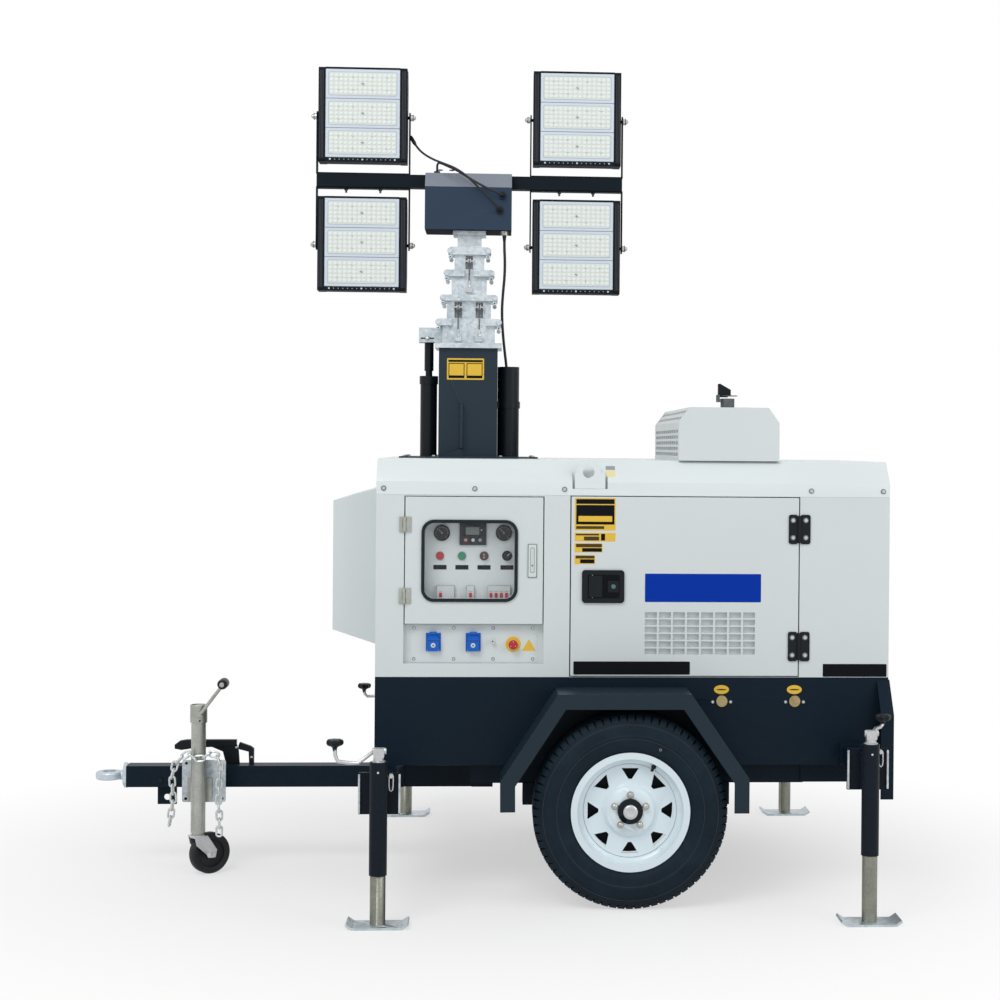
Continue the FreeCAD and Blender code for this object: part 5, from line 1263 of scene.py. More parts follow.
class LIGHTTOWER_OT_jacks(bpy.types.Operator):
    """Jack tubes with their bright gearheads, cranks and knobs, foot plates and pull pins."""
    bl_idname = "lighttower.jacks"
    bl_label = "Jacks"

    def execute(self, context):
        def tube(patch):
            return "jack_black" if patch.size(2) > 300 else None

        def leg(patch):
            return "foot_zinc" if patch.high[2] < 30 else "leg_zinc"

        for end, x, z, top in JACK_ENDS:
            for side, sign in SIDES:
                name = "%s_%s" % (end, side)
                dress("jack_tube_" + name, tube, 0.6)
                dress("jack_leg_" + name, leg, by_face=True)
                dress("outrigger_" + name, plain("base_black"), 0.8)
                self.gearhead(name, x, sign, top)
                self.bracket(name, x, sign, z)
        return {"FINISHED"}

    @staticmethod
    def gearhead(name, x, sign, top):
        """Cast gearhead, its crank and the lobed knob on the crank's end."""
        y = sign * JACK_Y
        gear = Shape("zinc_plate")
        gear.turned([(0, 24), (3, 24), (6, 18), (26, 17)], (x, y, top), "z", sides=32)
        gear.prism(rounded(x - 17, x + 19, top + 14, top + 46, 7), "y", y - 17, y + 17)
        gear.rod((x - 22, y, top + 36), (x + 26, y, top + 36), 11, edge=2)
        gear.stud("zinc_plate", 4, 2, (x, y + sign * 29.6, top - 32), (0, sign, 0))
        spots = [Vector((x + across, y - sign * back, top + up))
                 for across, back, up in CRANKS[name]]
        gear.tube(spots, 6.5, sides=14)
        knob = []
        for rise, radius, lobe in KNOB:
            for step in range(KNOB_SIDES):
                turn = 2 * math.pi * step / KNOB_SIDES
                reach = radius * (1 + lobe * math.cos(KNOB_LOBES * turn))
                knob.append(spots[-1] + Vector((reach * math.cos(turn),
                                                reach * math.sin(turn), rise)))
        gear.use("satin_black").shell(knob, stack(len(KNOB), KNOB_SIDES))
        gear.done("gearhead_" + name, BODY_OF["jack_tube_" + name], ease=0.5)

    @staticmethod
    def bracket(name, x, sign, z):
        """Bright flanges of the swivel bracket and the pull pins on both its sides."""
        rim = Shape("galvanised")
        for side in (-1, 1):
            edge = x + side * 67.5
            rim.block((edge - 3.5, edge + 3.5), (sign * 923.5, sign * 931), (z - 66, z + 66))
        rim.done("bracket_flanges_" + name, BODY_OF["jack_tube_" + name], ease=1.0)
        pin = Shape("zinc_plate")
        shift = x + 40
        pin.rod((shift, sign * 923, z + 62), (shift, sign * 948, z + 62), 8, edge=1.5)
        pin.tube([(shift - 7, sign * 944, z + 62), (shift - 7, sign * 946, z + 30),
                  (shift - 5, sign * 947, z + 16), (shift, sign * 947, z + 12),
                  (shift + 5, sign * 947, z + 16), (shift + 7, sign * 946, z + 30),
                  (shift + 7, sign * 944, z + 62)], 2.6, sides=10)
        pin.done("pull_pin_" + name, BODY_OF["jack_tube_" + name])


# hanging line of the safety chain, across and up
CHAIN_LINE = [(-1672, 207), (-1666, 247), (-1660, 294), (-1663, 334), (-1665, 374),
              (-1655, 414), (-1634, 440), (-1607, 458), (-1581, 438), (-1555, 440),
              (-1528, 458), (-1503, 452), (-1489, 420), (-1491, 367), (-1494, 320),
              (-1494, 280), (-1491, 233), (-1490, 193), (-1491, 160)]
CHAIN_Y = -216.0
CHAIN_PITCH = 29.5
CHAIN_LEAN = (0.15, 0.12)            # how far every link leans out of its run


class LIGHTTOWER_OT_jockey(bpy.types.Operator):
    """Jockey wheel's tube, winding handle with its grip, and the wheel with its hub."""
    bl_idname = "lighttower.jockey"
    bl_label = "Jockey wheel"

    def execute(self, context):
        def wheel(patch):
            return "dark_plastic" if patch.reach(*JOCKEY_HUB)[1] < 52 else "castor_rubber"

        dress("jockey_leg", lambda patch: None if patch.low[2] > 613 else "nickel_grey",
              by_face=True)
        self.handle()
        self.chain()
        dress("jockey_wheel", wheel, 0.6, by_face=True)
        low, high = (corner / MM for corner in map(Vector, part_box("jockey_wheel")))
        hub = Shape("zinc_plate")
        x, z = JOCKEY_HUB
        for y, facing in ((low.y, -1), (high.y, 1)):
            hub.turned([(-3, 9), (0.5, 9), (1.6, 6.5)], (x, y, z), (0, facing, 0), sides=6)
        hub.done("jockey_hub_nuts", BODY_OF["jockey_wheel"])
        return {"FINISHED"}

    @staticmethod
    def handle():
        """Cap of the tube and the winding handle with its round grip."""
        x, y, front = -1575.0, -175.0, -206.0
        crank = Shape("nickel_grey")
        crank.turned([(0, 29), (0, 31.5), (64, 31.5), (66, 30), (66, 27), (62, 26), (62, 0)],
                     (x, y, 568), "z", sides=40)
        crank.rod((x + 8, front + 8, 600), (x + 8, front - 9, 600), 10, edge=1.5)
        crank.tube([(x + 8, front - 5, 600), (x + 22, front - 6, 617), (x + 60, front - 6, 668),
                    (x + 99, front - 6, 719)], 6.5, sides=14)
        crank.rod((x + 100, front - 2, 721), (x + 100, front - 84, 721), 9, edge=1)
        crank.use("satin_black").turned([(8, 13), (12, 18), (18, 19), (66, 19), (74, 17),
                                         (77, 12)], (x + 100, front, 721), OUTWARD)
        crank.stud("satin_black", 4, 1.5, (x + 8, front + 1, 577))
        crank.done("jockey_handle", BODY_OF["jockey_leg"])

    @staticmethod
    def chain():
        """Safety chain: links along its hanging line, every second one turned on edge."""
        line = [Vector((x, CHAIN_Y, z)) for x, z in CHAIN_LINE]
        flat = Vector((0, 1, 0))
        lean, swing = CHAIN_LEAN
        spots = []
        left = 0.0
        for start, end in zip(line, line[1:]):
            run = end - start
            along = run.normalized()
            while left < run.length:
                upright = flat if len(spots) % 2 else along.cross(flat)
                upright = (upright + flat.cross(upright) * lean + flat * swing).normalized()
                across = upright.cross(along).normalized()
                upright = along.cross(across)
                turn = Matrix((along, across, upright)).transposed().to_euler()
                spots.append((start + along * left, tuple(turn)))
                left += CHAIN_PITCH
            left -= run.length
        grow("safety_chain_links", link_tree("Chain links", "chain_zinc"), spots,
             {"Link Length": 0.0375, "Link Width": 0.0205, "Wire Radius": 0.0041},
             BODY_OF["safety_chain"], replaces=("safety_chain",))


class LIGHTTOWER_OT_mast(bpy.types.Operator):
    """Mast tube and sections with their notice, ropes, collar nuts and bolts."""
    bl_idname = "lighttower.mast"
    bl_label = "Mast"

    def execute(self, context):
        def first(patch):
            middle = (patch.low[0] + patch.high[0]) / 2
            return "satin_black" if middle < -715 and patch.high[2] < 2003 else "galvanised"

        def section(patch):
            """Galvanised tube with the bright sheaves behind its windows."""
            sheave = max(patch.size(0), patch.size(2)) < 29 and patch.size(1) < 30
            front = patch.low[1] < -50 and patch.low[0] > -650
            return "zinc_plate" if sheave and front else "galvanised"

        def tube(patch):
            return "galvanised" if patch.low[2] >= 1976 else "mast_black"

        dress("mast_tube", tube, by_face=True)
        dress("mast_section_1", first, 0.5, by_face=True)
        for number in (2, 3, 4, 5):
            dress("mast_section_%d" % number, section, 0.5, by_face=True)
        for name, x, y, upper, lower, anchor, sheave in ROPES:
            self.rope(name, x, y, upper, lower, anchor, sheave)
        for number, (body, half, low, high) in enumerate(COLLARS, 1):
            self.collar_nuts(number, body, half, low, high)
        for body, x, y, low, high in WINDOWS:
            back = Shape("bolt_shade")
            back.block((x - 13.9, x + 13.9), (y, y + 1), (low, high))
            back.done("window_back_%d_%d" % (-x, low), body)
        self.bracket()
        self.notice()
        return {"FINISHED"}

    @staticmethod
    def bracket():
        """Front plate of the lift rod's bracket with its bolt."""
        plate = Shape("galvanised")
        plate.sheet("galvanised", (-775, -684.5, 2001, 2057, 3), -41, -37)
        plate.stud("zinc_plate", 9, 5, (-742, -41, 2016), sides=20)
        plate.sheet("rope_steel", (-768, -716, 2013, 2019, 2.5), -41.3, -40.8)
        plate.use("galvanised").block((-775, -684.5), (-37.5, 37), (2001, 2004))
        plate.done("lift_bracket_plate", "mast_stage_1", ease=0.5)

    @staticmethod
    def rope(name, x, y, upper, lower, anchor, sheave):
        """Wire rope from its anchor up over the sheave, with its threaded end."""
        line = Shape("steel_rope")
        centre = y + ROPE_WRAP
        path = [(x, y, anchor + 24 + step * (sheave - anchor - 24) / 12) for step in range(13)]
        for step in range(1, 9):
            angle = math.pi * step / 8
            path.append((x, centre - ROPE_WRAP * math.cos(angle),
                         sheave + ROPE_WRAP * math.sin(angle)))
        line.tube(path, ROPE_RADIUS, sides=10)
        piece = line.done(name, None)
        place(x, y, anchor + 30)
        place(x, y, sheave - 12)
        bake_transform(piece)
        end = Shape("zinc_plate")
        end.rod((x, y, anchor + 0.4), (x, y, anchor + 26), 3.4, sides=14, edge=0.6)
        end.turned([(0, 6.5), (6, 6.5)], (x, y, anchor + 1), "z", sides=6)
        end.done(name + "_end", lower)

    @staticmethod
    def collar_nuts(number, body, half, low, high):
        """Round end blocks of a collar and the bolts that hang under them."""
        ends = Shape("galvanised")
        middle = (low + high) / 2
        for sign in (-1, 1):
            x = MAST_X + sign * half
            for side in (-1, 1):
                y = side * (half - 3)
                ends.use("galvanised").turned([(-10, 11), (4, 11), (6, 9), (6, 0)],
                                              (x, y, middle), (0, side, 0), sides=24)
                ends.turned([(-12, 8), (4, 8), (6, 6), (6, 0)], (x - sign, y, low - 9),
                            (0, side, 0), sides=20)
                ends.stud("rope_steel", 3.4, 1.6, (x - sign, y + side * 6, low - 9),
                          (0, side, 0), 12)
        ends.done("collar_nuts_%d" % number, body, ease=0.4)

    @staticmethod
    def notice():
        """Blank notice on the mast tube: pale rim, black field and two yellow panels."""
        plate = Shape("sign_yellow")
        face = -111.0
        plate.sheet("sign_yellow", (-665, -525, 1857, 1938, 3), face - 0.9, face + 0.2)
        plate.use("plate_black").block((-660, -530), (face - 1.4, face - 0.7), (1924, 1932))
        for x_low, x_high in ((-659, -599), (-591, -531)):
            plate.use("plate_black").block((x_low, x_high), (face - 1.4, face - 0.7),
                                           (1863, 1920))
            plate.use("sign_yellow").block((x_low + 3, x_high - 3), (face - 2.0, face - 1.2),
                                           (1873, 1917))
        plate.done("mast_notice", "root")


class LIGHTTOWER_OT_head(bpy.types.Operator):
    """Head box with its upper slope painted paler as a highlight and its underside painted darker
    as shade, glands and clip, and the lamp bar.
    """
    bl_idname = "lighttower.head"
    bl_label = "Head"

    def execute(self, context):
        def box(patch):
            # the upper front slope takes a pale grey, a painted highlight
            sloped = patch.low[2] > HEAD_FACE_TOP - 1 and patch.high[1] < 60
            if sloped and patch.low[1] < -60:
                return "head_slope"
            # the underside, bar its small glands, takes a darker black, painted shade
            if patch.high[2] < HEAD_LOW + 3:
                return "nickel_grey" if patch.size(0) < 40 else "under_black"
            if patch.high[1] < -HEAD_HALF + 0.5 and patch.low[1] < -HEAD_HALF - 1:
                return "gasket_black"
            return "head_blue_black"

        dress("head_box", box, 0.8, by_face=True)
        dress("lamp_bar", plain("lamp_black"), 0.5)
        clip = Shape("nickel_grey")
        clip.turned([(0, 13), (5, 13), (7, 10)], (-452, -55, HEAD_LOW - 7), "z", sides=6)
        for x in (-700, -655):
            clip.use("cable_rubber").ring((x, -4, 2664), "z", 9, 1.6)
        for middle in (MAST_X - LAMP_SPREAD, MAST_X + LAMP_SPREAD):
            for x in (middle - 65, middle + 65):
                clip.use("rope_steel").rod((x, 0, BAR_LOW - 20), (x, 0, BAR_LOW + 4), 4, sides=14)
                clip.rod((x, 0, BAR_LOW - 11), (x, 0, BAR_LOW + 1), 8, sides=6)
                clip.rod((x, 0, BAR_HIGH - 1), (x, 0, BAR_HIGH + 6), 9, sides=6)
        clip.done("head_fittings", "mast_head")
        return {"FINISHED"}


class LIGHTTOWER_OT_lamps(bpy.types.Operator):
    """Floodlights: ribbed housings, framed lens plates and rows of lenses."""
    bl_idname = "lighttower.lamps"
    bl_label = "Floodlights"

    def execute(self, context):
        lens = stud_tree("Lens rows", "lens_dome")
        screws = stud_tree("Rail screws", "zinc_plate")
        marks = stud_tree("Lens plate screws", "lens_border")
        rivets = stud_tree("Rail rivets", "grey_plastic")
        for side, x in (("left", MAST_X - LAMP_SPREAD), ("right", MAST_X + LAMP_SPREAD)):
            for level, z in (("upper", UPPER_PIVOT), ("lower", LOWER_PIVOT)):
                name = "lamp_%s_%s" % (level, side)
                dress(name, self.housing(x), 0.6, by_face=True)
                self.housing_details(name, x, z)
                self.lens_plates(name, x, z)
                grow(name + "_lenses", lens, self.lens_spots(x, z),
                     stud(0.0058, 0.0012, 0.0073, 0.0011, 10), name)
                grow(name + "_marks", marks, self.mark_spots(x, z),
                     stud(0.0016, 0.0006, 0.0026, 0.0006, 8), name)
                spots = self.rail_spots(x, z)
                grow(name + "_screws", screws, [spots[0], spots[7], spots[14]],
                     stud(0.0026, 0.001, 0.0036, 0.0006, 8), name)
                grow(name + "_rivets", rivets, spots[1:7] + spots[8:14],
                     stud(0.0016, 0.0008, 0.0022, 0.0005, 8), name)
        return {"FINISHED"}

    @staticmethod
    def housing(x):
        """Pale lens frames, bright pivot pins and a dark housing."""
        def choose(patch):
            if min(abs(patch.low[0] - x), abs(patch.high[0] - x)) > 173:
                return "zinc_plate"
            frame = patch.high[1] < -54.5 and patch.low[0] > x - 141 and patch.high[0] < x + 141
            return "lens_frame" if frame and 5 < patch.size(2) + patch.size(1) else "lamp_black"
        return choose

    @staticmethod
    def module_middles(z):
        """Middle heights of a lamp's three modules."""
        first = z - LAMP_HEIGHT / 2 + MODULE_START
        return [first + step * MODULE_PITCH for step in range(3)]

    def lens_spots(self, x, z):
        """Place of every lens on the three modules."""
        columns, rows = looks().lens_columns, looks().lens_rows
        return [((x + (column - (columns - 1) / 2) * LENS_PITCH[0], LENS_FIELD_Y,
                  middle + (row - (rows - 1) / 2) * LENS_PITCH[1]), OUTWARD)
                for middle in self.module_middles(z)
                for column in range(columns) for row in range(rows)]

    def mark_spots(self, x, z):
        """Place of every small screw between the lenses."""
        across, up = LENS_PITCH
        return [((x + column * across, LENS_FIELD_Y, middle + row * up), OUTWARD)
                for middle in self.module_middles(z)
                for column in (-5, -2, 2, 5) for row in (-1.5, 1.5)]

    @staticmethod
    def rail_spots(x, z):
        """Place of every screw and rivet along the lower rail."""
        low = z - LAMP_HEIGHT / 2 + 8
        return [((x + step * 17.5, LENS_FACE_Y - 0.9, low), OUTWARD) for step in range(-7, 8)]

    def lens_plates(self, name, x, z):
        """Pale field inside a fine grey border on each module."""
        plate = Shape("lens_clear")
        for middle in self.module_middles(z)[:2]:
            seam = middle + MODULE_PITCH / 2
            # the seams between modules reuse the grey of the head's upper slope
            plate.use("head_slope").block((x - 139.5, x + 139.5),
                                          (LENS_FACE_Y - 0.3, LENS_FACE_Y + 3),
                                          (seam - 1.3, seam + 1.3))
        for middle in self.module_middles(z):
            plate.sheet("lens_border", (x - 130, x + 130, middle - 45.5, middle + 45.5, 7),
                        LENS_FACE_Y - 0.5, LENS_FACE_Y + 0.2)
            plate.sheet("lens_clear", (x - 127.5, x + 127.5, middle - 43, middle + 43, 6),
                        LENS_FIELD_Y, LENS_FACE_Y - 0.2)
            for across, up in ((-9, 0), (9, 0), (-4, 4), (4, -4), (0, 5), (0, -5)):
                plate.use("grey_plastic").rod((x, LENS_FIELD_Y - 2.8, middle),
                                              (x + across, LENS_FIELD_Y - 2.8, middle + up),
                                              0.7, sides=6)
        half_h = LAMP_HEIGHT / 2
        for low, high in ((z - half_h, z - half_h + 14.5), (z + half_h - 7, z + half_h)):
            plate.use("lamp_black").block((x - 141, x + 141), (LENS_FACE_Y - 0.8,
                                                               LENS_FACE_Y + 6), (low, high))
        plate.done(name + "_lens_plates", name)

    @staticmethod
    def housing_details(name, x, z):
        """Ridges along the cheeks and the domed nuts at the pivots."""
        trim = Shape("cheek_grey")
        half_h = LAMP_HEIGHT / 2
        for sign in (-1, 1):
            for shift in RIDGES:
                middle = x + sign * shift
                trim.sheet("cheek_grey", (middle - 1.4, middle + 1.4, z - half_h + 12,
                                          z + half_h - 12, 1.2, 3),
                           LAMP_FACE_Y - 1.2, LAMP_FACE_Y + 1)
            nut = (x + sign * NUT_SEAT, 0, z)
            trim.use("satin_black").turned([(-0.5, 13), (2, 13)], nut, (sign, 0, 0), sides=24)
            trim.use("zinc_plate").turned([(2, 9), (7, 9), (10, 6.5), (12, 3), (12.6, 0)], nut,
                                          (sign, 0, 0), sides=20)
        trim.done(name + "_trim", name)


class LIGHTTOWER_OT_wheels(bpy.types.Operator):
    """Tyres with ribs and shoulder lugs on the painted steel discs."""
    bl_idname = "lighttower.wheels"
    bl_label = "Wheels"

    def execute(self, context):
        depth = looks().tread_depth / MM
        crown = WHEEL_RADIUS - depth
        inner, outer = TYRE_INNER, TYRE_OUTER
        for side, sign in SIDES:
            body = BODY_OF["tyre_" + side]
            tyre = Shape("tyre_rubber")
            middle = (inner + outer) / 2
            profile = [(inner + 22, 192), (inner + 8, 216), (inner + 2, 240), (inner, 262),
                       (inner + 3, 290), (inner + 10, 314), (inner + 24, crown - 8),
                       (inner + 40, crown - 2), (inner + 48, crown)]
            for rib in (-30, 0, 30):
                profile += [(middle + rib - 10, crown), (middle + rib - 9, WHEEL_RADIUS),
                            (middle + rib + 9, WHEEL_RADIUS), (middle + rib + 10, crown)]
            profile += [(outer - 48, crown), (outer - 40, crown - 2), (outer - 24, crown - 8),
                        (outer - 10, 314), (outer - 3, 294), (outer - 2, 276), (outer - 1, 268),
                        (outer, 266), (outer, 264), (outer - 1.4, 262), (outer - 2, 246),
                        (outer - 4, 232), (outer - 9, 218), (outer - 13, 215),
                        (outer - 19, 209), (outer - 22, 192)]
            tyre.turned([(sign * y, r) for y, r in profile], (0, 0, WHEEL_RADIUS), "y",
                        sides=96, closed=True)
            for count in range(looks().lug_count):
                angle = 2 * math.pi * count / looks().lug_count
                for start, end in ((inner + 12, inner + 50), (outer - 12, outer - 50)):
                    self.lug(tyre, angle, sign * start, sign * end, crown)
            tyre.done("tyre_%s_treaded" % side, body, ("tyre_" + side,),
                      smooth=40)
            dress("rim_" + side, self.rim_finish, by_face=True)
            self.rim_details(side, sign, body)
            drum = Shape("gasket_black")
            drum.turned([(626, 60), (626, 140), (632, 152), (690, 152), (694, 148), (694, 60)],
                        (0, 0, WHEEL_RADIUS), (0, sign, 0), sides=48, closed=True)
            drum.done("brake_drum_" + side, body)
        return {"FINISHED"}

    @staticmethod
    def rim_finish(patch):
        """Finish of a face of the rim by its distance from the axle."""
        least, most = patch.reach(0, WHEEL_RADIUS)
        if most < 27:
            return "zinc_plate"
        if most < 47:
            return "satin_black"
        if patch.size(0) < 23 and patch.size(2) < 23 and least > 44 and most < 70:
            return "nickel_grey"
        return "wheel_white"

    @staticmethod
    def rim_details(side, sign, body):
        """Valve in its sleeve, dished nut washers, nut crowns and the paint dot on the tyre."""
        trim = Shape("gasket_black")
        face = sign * RIM_FACE
        spot = Vector((VALVE[0], 0, WHEEL_RADIUS + VALVE[1]))
        inward = Vector((-VALVE[0], 0, -VALVE[1])).normalized()
        start = spot + Vector((0, sign * 752.0, 0))
        trim.turned([(-12, 6), (-4, 9), (0, 9), (2, 5.5), (12, 5), (14, 3)], start,
                    inward + Vector((0, sign * 0.25, 0)), sides=16)
        trim.use("nickel_grey")
        for count in range(NUT_COUNT):
            angle = 2 * math.pi * count / NUT_COUNT + math.pi / 2
            nut = (NUT_CIRCLE * math.cos(angle), face,
                   WHEEL_RADIUS + NUT_CIRCLE * math.sin(angle))
            trim.turned([(-1, 13), (0.8, 13), (1.6, 11)], nut, (0, sign, 0), sides=24)
            trim.turned([(10, 9.8), (15, 9.2), (18, 5.5), (18.6, 0)], nut, (0, sign, 0),
                        sides=20)
        trim.use("zinc_plate").turned([(17, 24.6), (21, 24), (23.5, 20), (24, 14), (23.4, 13),
                                       (23.4, 0)], (0, face, WHEEL_RADIUS), (0, sign, 0),
                                      sides=40)
        if side == "near":
            trim.use("grey_plastic").ring((101, sign * 788, WHEEL_RADIUS + 219), "y", 3.8, 0.9)
        for radius, depth in ((257, 788.0), (305, 783.2)):
            trim.use("cheek_grey").ring((0, sign * depth, WHEEL_RADIUS), "y", radius, 0.9,
                                        sides=96, wire_sides=6)
        trim.use("grey_plastic").ring((0, sign * 736.2, WHEEL_RADIUS), "y", 163, 0.8, sides=72,
                                      wire_sides=6)
        trim.done("rim_trim_" + side, body)

    @staticmethod
    def lug(tyre, angle, shoulder, inside, crown):
        """One shoulder lug, from the side of the tyre over its shoulder onto the crown."""
        half = math.radians(LUG_HALF_ANGLE)
        section = [(shoulder, crown - 31), (shoulder, crown - 17),
                   (shoulder + (inside - shoulder) * 0.35, crown + 3),
                   (shoulder + (inside - shoulder) * 0.6, WHEEL_RADIUS),
                   (inside, WHEEL_RADIUS), (inside, crown - 6),
                   (shoulder + (inside - shoulder) * 0.4, crown - 20)]
        verts = []
        for turn in (angle - half, angle + half):
            for y, radius in section:
                verts.append(Vector((radius * math.cos(turn), y,
                                     WHEEL_RADIUS + radius * math.sin(turn))))
        tyre.shell(verts, stack(2, len(section)))


# blank plates on the near side: name, body, finish, x low, x high, z low, z high, corner, face
PLATES = [
    ("side_plate_blue", "side_door_near", "plate_blue", 57, 473, 1056, 1157, 3, NEAR_WALL),
    ("door_plate_low", "side_door_near", "plate_black", -196, 220, 797, 844, 4, NEAR_WALL),
    ("corner_plate", "root", "plate_black", 698, 929, 790, 836, 3, NEAR_WALL),
]
# blank notices, each a yellow sheet with darker fields: name, outline, fields as
# (finish, x low, x high, z low, z high)
NOTICES = [
    ("notice_upper", (-195, -50, 1310, 1425), [
        ("plate_black", -190, -54, 1404, 1421), ("plate_black", -190, -54, 1331, 1400),
        ("sign_yellow", -182, -62, 1341, 1361), ("umber", -190, -90, 1315, 1325)]),
    ("notice_second", (-195, -50, 1271, 1301), [
        ("umber", -191, -108, 1292, 1298), ("umber", -162, -108, 1274, 1288),
        ("plate_black", -101, -87, 1274, 1298)]),
    ("notice_third", (-195, -96, 1232, 1264), [
        ("umber", -190, -98, 1250, 1262), ("plate_black", -168, -98, 1234, 1247)]),
    ("notice_low", (-195, -122, 1190, 1222), [
        ("umber", -191, -124, 1210, 1220), ("plate_black", -175, -124, 1193, 1207)]),
]


class LIGHTTOWER_OT_plates(bpy.types.Operator):
    """Blank plates and notices on the doors and walls."""
    bl_idname = "lighttower.plates"
    bl_label = "Plates"

    def execute(self, context):
        for name, body, finish, x_low, x_high, z_low, z_high, corner, face in PLATES:
            plate = Shape(finish)
            plate.sheet(finish, (x_low, x_high, z_low, z_high, corner), face - 0.7, face + 0.2)
            plate.done(name, body, ease=0.2)
        for name, outline, fields in NOTICES:
            notice = Shape("sign_yellow")
            notice.sheet("sign_yellow", (*outline, 2), NEAR_WALL - 0.5, NEAR_WALL + 0.2)
            for finish, x_low, x_high, z_low, z_high in fields:
                rise = 0.9 if finish != "sign_yellow" else 1.3
                notice.sheet(finish, (x_low, x_high, z_low, z_high, 1, 2), NEAR_WALL - rise,
                             NEAR_WALL - 0.3)
            notice.done(name, "side_door_near")
        self.small_signs()
        return {"FINISHED"}

    @staticmethod
    def small_signs():
        """Ovals over the drain plugs, the triangle by the sockets and the tag by the lug."""
        signs = Shape("sign_yellow")
        for x in DRAIN_PLUGS:
            signs.use("sign_yellow").prism(oval(x - 1, 744, 27, 16), "y", NEAR_WALL - 0.6,
                                           NEAR_WALL + 0.2)
            signs.use("umber").prism(oval(x - 1, 744, 18, 2.5), "y", NEAR_WALL - 0.9,
                                     NEAR_WALL - 0.4)
        signs.use("sign_yellow").prism([(-379, 878), (-329, 878), (-354, 920)], "y",
                                       SOCKET_PLATE - 0.6, SOCKET_PLATE + 0.2)
        for finish, low, high in (("label_yellow", 1500, 1523), ("grey_plastic", 1525, 1538)):
            corners = []
            for z, rise in ((low, 0.5), (high, 0.5), (high, -0.8), (low, -0.8)):
                corners.append((NEAR_WALL + (z - 1481) * 78 / 79 - rise * 0.71,
                                z + rise * 0.71))
            signs.use(finish).prism(corners, "x", -84, -51)
        signs.done("small_signs", "root")


class LIGHTTOWER_OT_fasteners(bpy.types.Operator):
    """Bolts of the roof band, hinges, socket plate, roof plate and mast foot."""
    bl_idname = "lighttower.fasteners"
    bl_label = "Fasteners"

    def execute(self, context):
        bright = stud_tree("Bright bolts", "zinc_plate", "bolt_shade")
        bolt = stud(0.0065, 0.004, 0.0095, 0.0012, 6)
        screw = stud(0.0042, 0.0024, 0.0062, 0.0006, 12)
        band = [((x, sign * -NEAR_WALL, 1455), (0, sign, 0))
                for sign in (-1, 1) for x in (-871, -550, -232, 652, 912)]
        grow("roof_band_bolts", bright, band, bolt, "root")
        for side, sign in SIDES:
            for name, x, body in (("door", 586, BODY_OF["side_door_" + side]),
                                  ("post", 632, "root")):
                spots = [((x, sign * HINGE_FACE, z), (0, sign, 0)) for z in HINGE_BOLT_Z]
                grow("%s_hinge_bolts_%s" % (name, side), bright, spots, bolt, body)
        plate = [((x, SOCKET_PLATE, z), OUTWARD) for x in (-762, -621, -481, -340)
                 for z in (849, 959)]
        plate += [((x + shift, NEAR_WALL, 700), OUTWARD) for x in DRAIN_PLUGS
                  for shift in (-32, 32)]
        grow("socket_plate_screws", bright, plate, screw, "root")
        foot = [((x, y, 1566), (0, 0, 1)) for x in (-820, -710, -460, -340)
                for y in (-172, 172)]
        foot += [((x, y, 1566), (0, 0, 1)) for x in (-820, -340) for y in (-60, 60)]
        grow("roof_plate_bolts", bright, foot, bolt, "root")
        return {"FINISHED"}


KEY_SPOT = (-2.6, -5.2, 6.6)         # metres, as the other values of the stage
FILL_SPOT = (5.0, -4.0, 3.6)
LAMP_WIDTH = 4.0
LAMP_AIM = (0.0, 0.0, 1.2)
FLOOR_NEAR = 0.8                     # the floor's own shade, up to here
FLOOR_FAR = 2.9                      # plain white from here
FLOOR_GLOW = 0.55                    # share of white close to the object


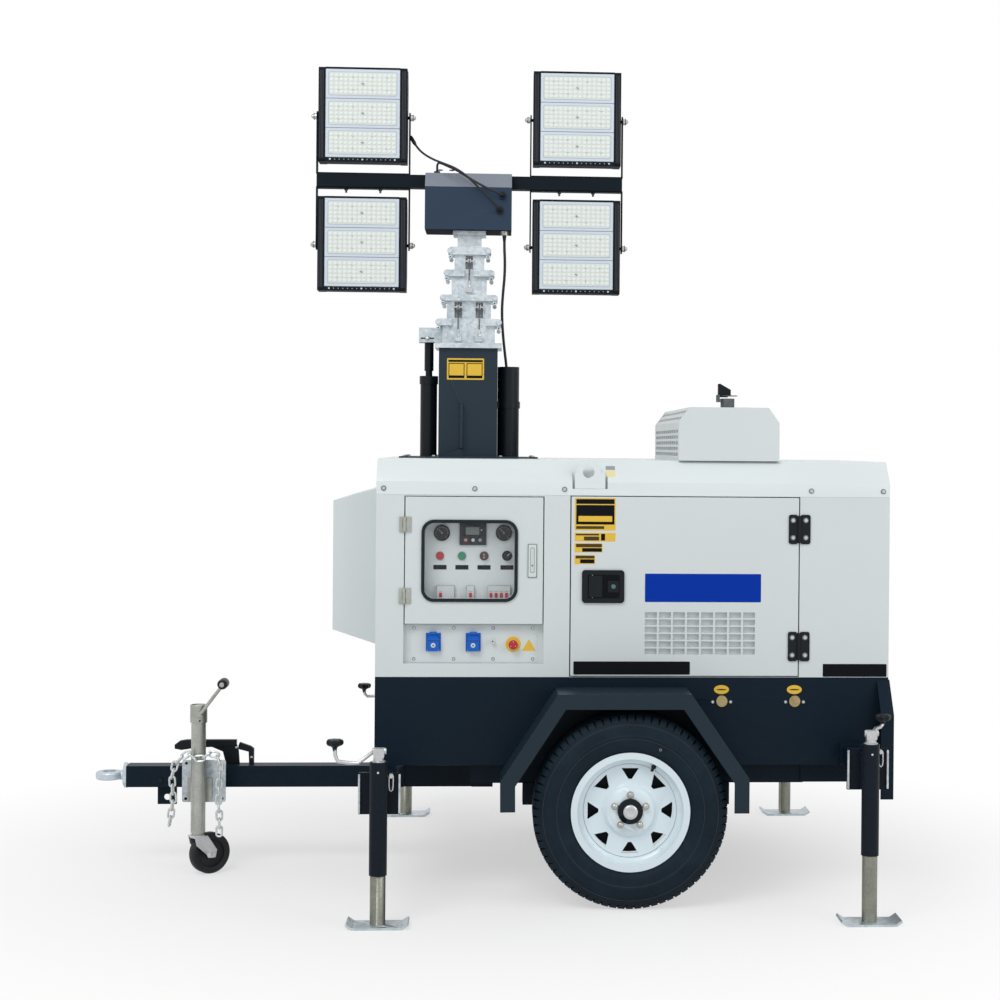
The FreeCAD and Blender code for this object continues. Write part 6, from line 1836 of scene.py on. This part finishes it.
class LIGHTTOWER_OT_stage(bpy.types.Operator):
    """Pale floor, even sky and two soft lamps."""
    bl_idname = "lighttower.stage"
    bl_label = "Stage"

    def execute(self, context):
        light = context.scene.light_tower_light
        self.sky(light.sky)
        self.floor(light.floor_size)
        self.lamp("Key", KEY_SPOT, light.key_power)
        self.lamp("Fill", FILL_SPOT, light.fill_power)
        return {"FINISHED"}

    @staticmethod
    def seen(tree):
        """1 for rays from the camera, off a gloss or through glass."""
        path = tree.add("ShaderNodeLightPath").outputs
        first = tree.add("ShaderNodeMath", {0: path["Is Camera Ray"], 1: path["Is Glossy Ray"]},
                         operation="MAXIMUM")
        both = tree.add("ShaderNodeMath", {0: first.outputs[0],
                                           1: path["Is Transmission Ray"]}, operation="MAXIMUM")
        return both.outputs[0]

    def sky(self, strength):
        """White all round for the camera, and a weaker even light for the object."""
        world = bpy.data.worlds.new("Studio")
        bpy.context.scene.world = world
        world.use_nodes = True
        tree = Tree(world.node_tree)
        back = world.node_tree.nodes["Background"]
        back.inputs["Color"].default_value = (1, 1, 1, 1)
        level = tree.add("ShaderNodeMapRange", {"Value": self.seen(tree), "To Min": strength,
                                                "To Max": 1.0})
        tree.join(level.outputs[0], back.inputs["Strength"])

    def floor(self, size):
        """Pale floor that turns plain white away from the object."""
        ground = bpy.data.materials.new("floor_pale")
        ground.use_nodes = True
        tree = Tree(ground.node_tree)
        shader = ground.node_tree.nodes["Principled BSDF"]
        shader.inputs["Base Color"].default_value = colour(243, 243, 243)
        shader.inputs["Roughness"].default_value = 0.9
        glow = tree.add("ShaderNodeEmission", {"Color": (1, 1, 1, 1), "Strength": 1.0})
        where = tree.add("ShaderNodeTexCoord").outputs["Object"]
        reach = tree.add("ShaderNodeVectorMath", {0: where}, operation="LENGTH")
        far = tree.add("ShaderNodeMapRange",
                       {"Value": reach.outputs["Value"], "From Min": FLOOR_NEAR,
                        "From Max": FLOOR_FAR, "To Min": FLOOR_GLOW, "To Max": 1.0},
                       interpolation_type="SMOOTHSTEP")
        share = tree.add("ShaderNodeMath", {0: far.outputs[0], 1: self.seen(tree)},
                         operation="MULTIPLY")
        mix = tree.add("ShaderNodeMixShader", {0: share.outputs[0]})
        tree.join(shader.outputs[0], mix.inputs[1])
        tree.join(glow.outputs[0], mix.inputs[2])
        tree.join(mix.outputs[0], ground.node_tree.nodes["Material Output"].inputs["Surface"])
        mesh = bpy.data.meshes.new("floor")
        half = size / 2
        mesh.from_pydata([(-half, -half, 0), (half, -half, 0), (half, half, 0),
                          (-half, half, 0)], [], [(0, 1, 2, 3)])
        mesh.materials.append(ground)
        floor = bpy.data.objects.new("floor", mesh)
        bpy.context.scene.collection.objects.link(floor)

    @staticmethod
    def lamp(name, spot, power):
        """Round soft lamp that is aimed at the middle of the object."""
        area = bpy.data.lights.new(name, "AREA")
        area.shape = "DISK"
        area.size = LAMP_WIDTH
        area.energy = power
        made = bpy.data.objects.new(name, area)
        made.location = spot
        aim = Vector(LAMP_AIM) - Vector(spot)
        made.rotation_mode = "QUATERNION"
        made.rotation_quaternion = aim.to_track_quat("-Z", "Y")
        bpy.context.scene.collection.objects.link(made)


STEPS = [
    LIGHTTOWER_OT_camera, LIGHTTOWER_OT_cords, LIGHTTOWER_OT_finishes, LIGHTTOWER_OT_panels,
    LIGHTTOWER_OT_instruments, LIGHTTOWER_OT_jacks, LIGHTTOWER_OT_jockey, LIGHTTOWER_OT_mast,
    LIGHTTOWER_OT_head, LIGHTTOWER_OT_lamps, LIGHTTOWER_OT_wheels, LIGHTTOWER_OT_plates,
    LIGHTTOWER_OT_fasteners, LIGHTTOWER_OT_stage,
]


class LIGHTTOWER_PT_sidebar(bpy.types.Panel):
    """The tower's sizes, colours and steps in the 3D view's sidebar."""
    bl_idname = "LIGHTTOWER_PT_sidebar"
    bl_label = "Light tower"
    bl_space_type = "VIEW_3D"
    bl_region_type = "UI"
    bl_category = "Light tower"

    def draw(self, context):
        layout = self.layout
        for group in (context.scene.light_tower_looks, context.scene.light_tower_light):
            box = layout.box()
            for name in group.__annotations__:
                box.prop(group, name)
        column = layout.column(align=True)
        for step in STEPS:
            column.operator(step.bl_idname)


CLASSES = [LIGHTTOWER_PG_looks, LIGHTTOWER_PG_light, *STEPS, LIGHTTOWER_PT_sidebar]


def register():
    for made in CLASSES:
        bpy.utils.register_class(made)
    scene = bpy.types.Scene
    scene.light_tower_looks = bpy.props.PointerProperty(type=LIGHTTOWER_PG_looks)
    scene.light_tower_light = bpy.props.PointerProperty(type=LIGHTTOWER_PG_light)


def unregister():
    del bpy.types.Scene.light_tower_looks
    del bpy.types.Scene.light_tower_light
    for made in reversed(CLASSES):
        bpy.utils.unregister_class(made)


def main():
    register()
    make_materials(looks())
    bpy.context.scene.view_settings.view_transform = "Standard"
    for step in STEPS:
        group, name = step.bl_idname.split(".")
        getattr(getattr(bpy.ops, group), name)()


if __name__ == "__main__":
    main()
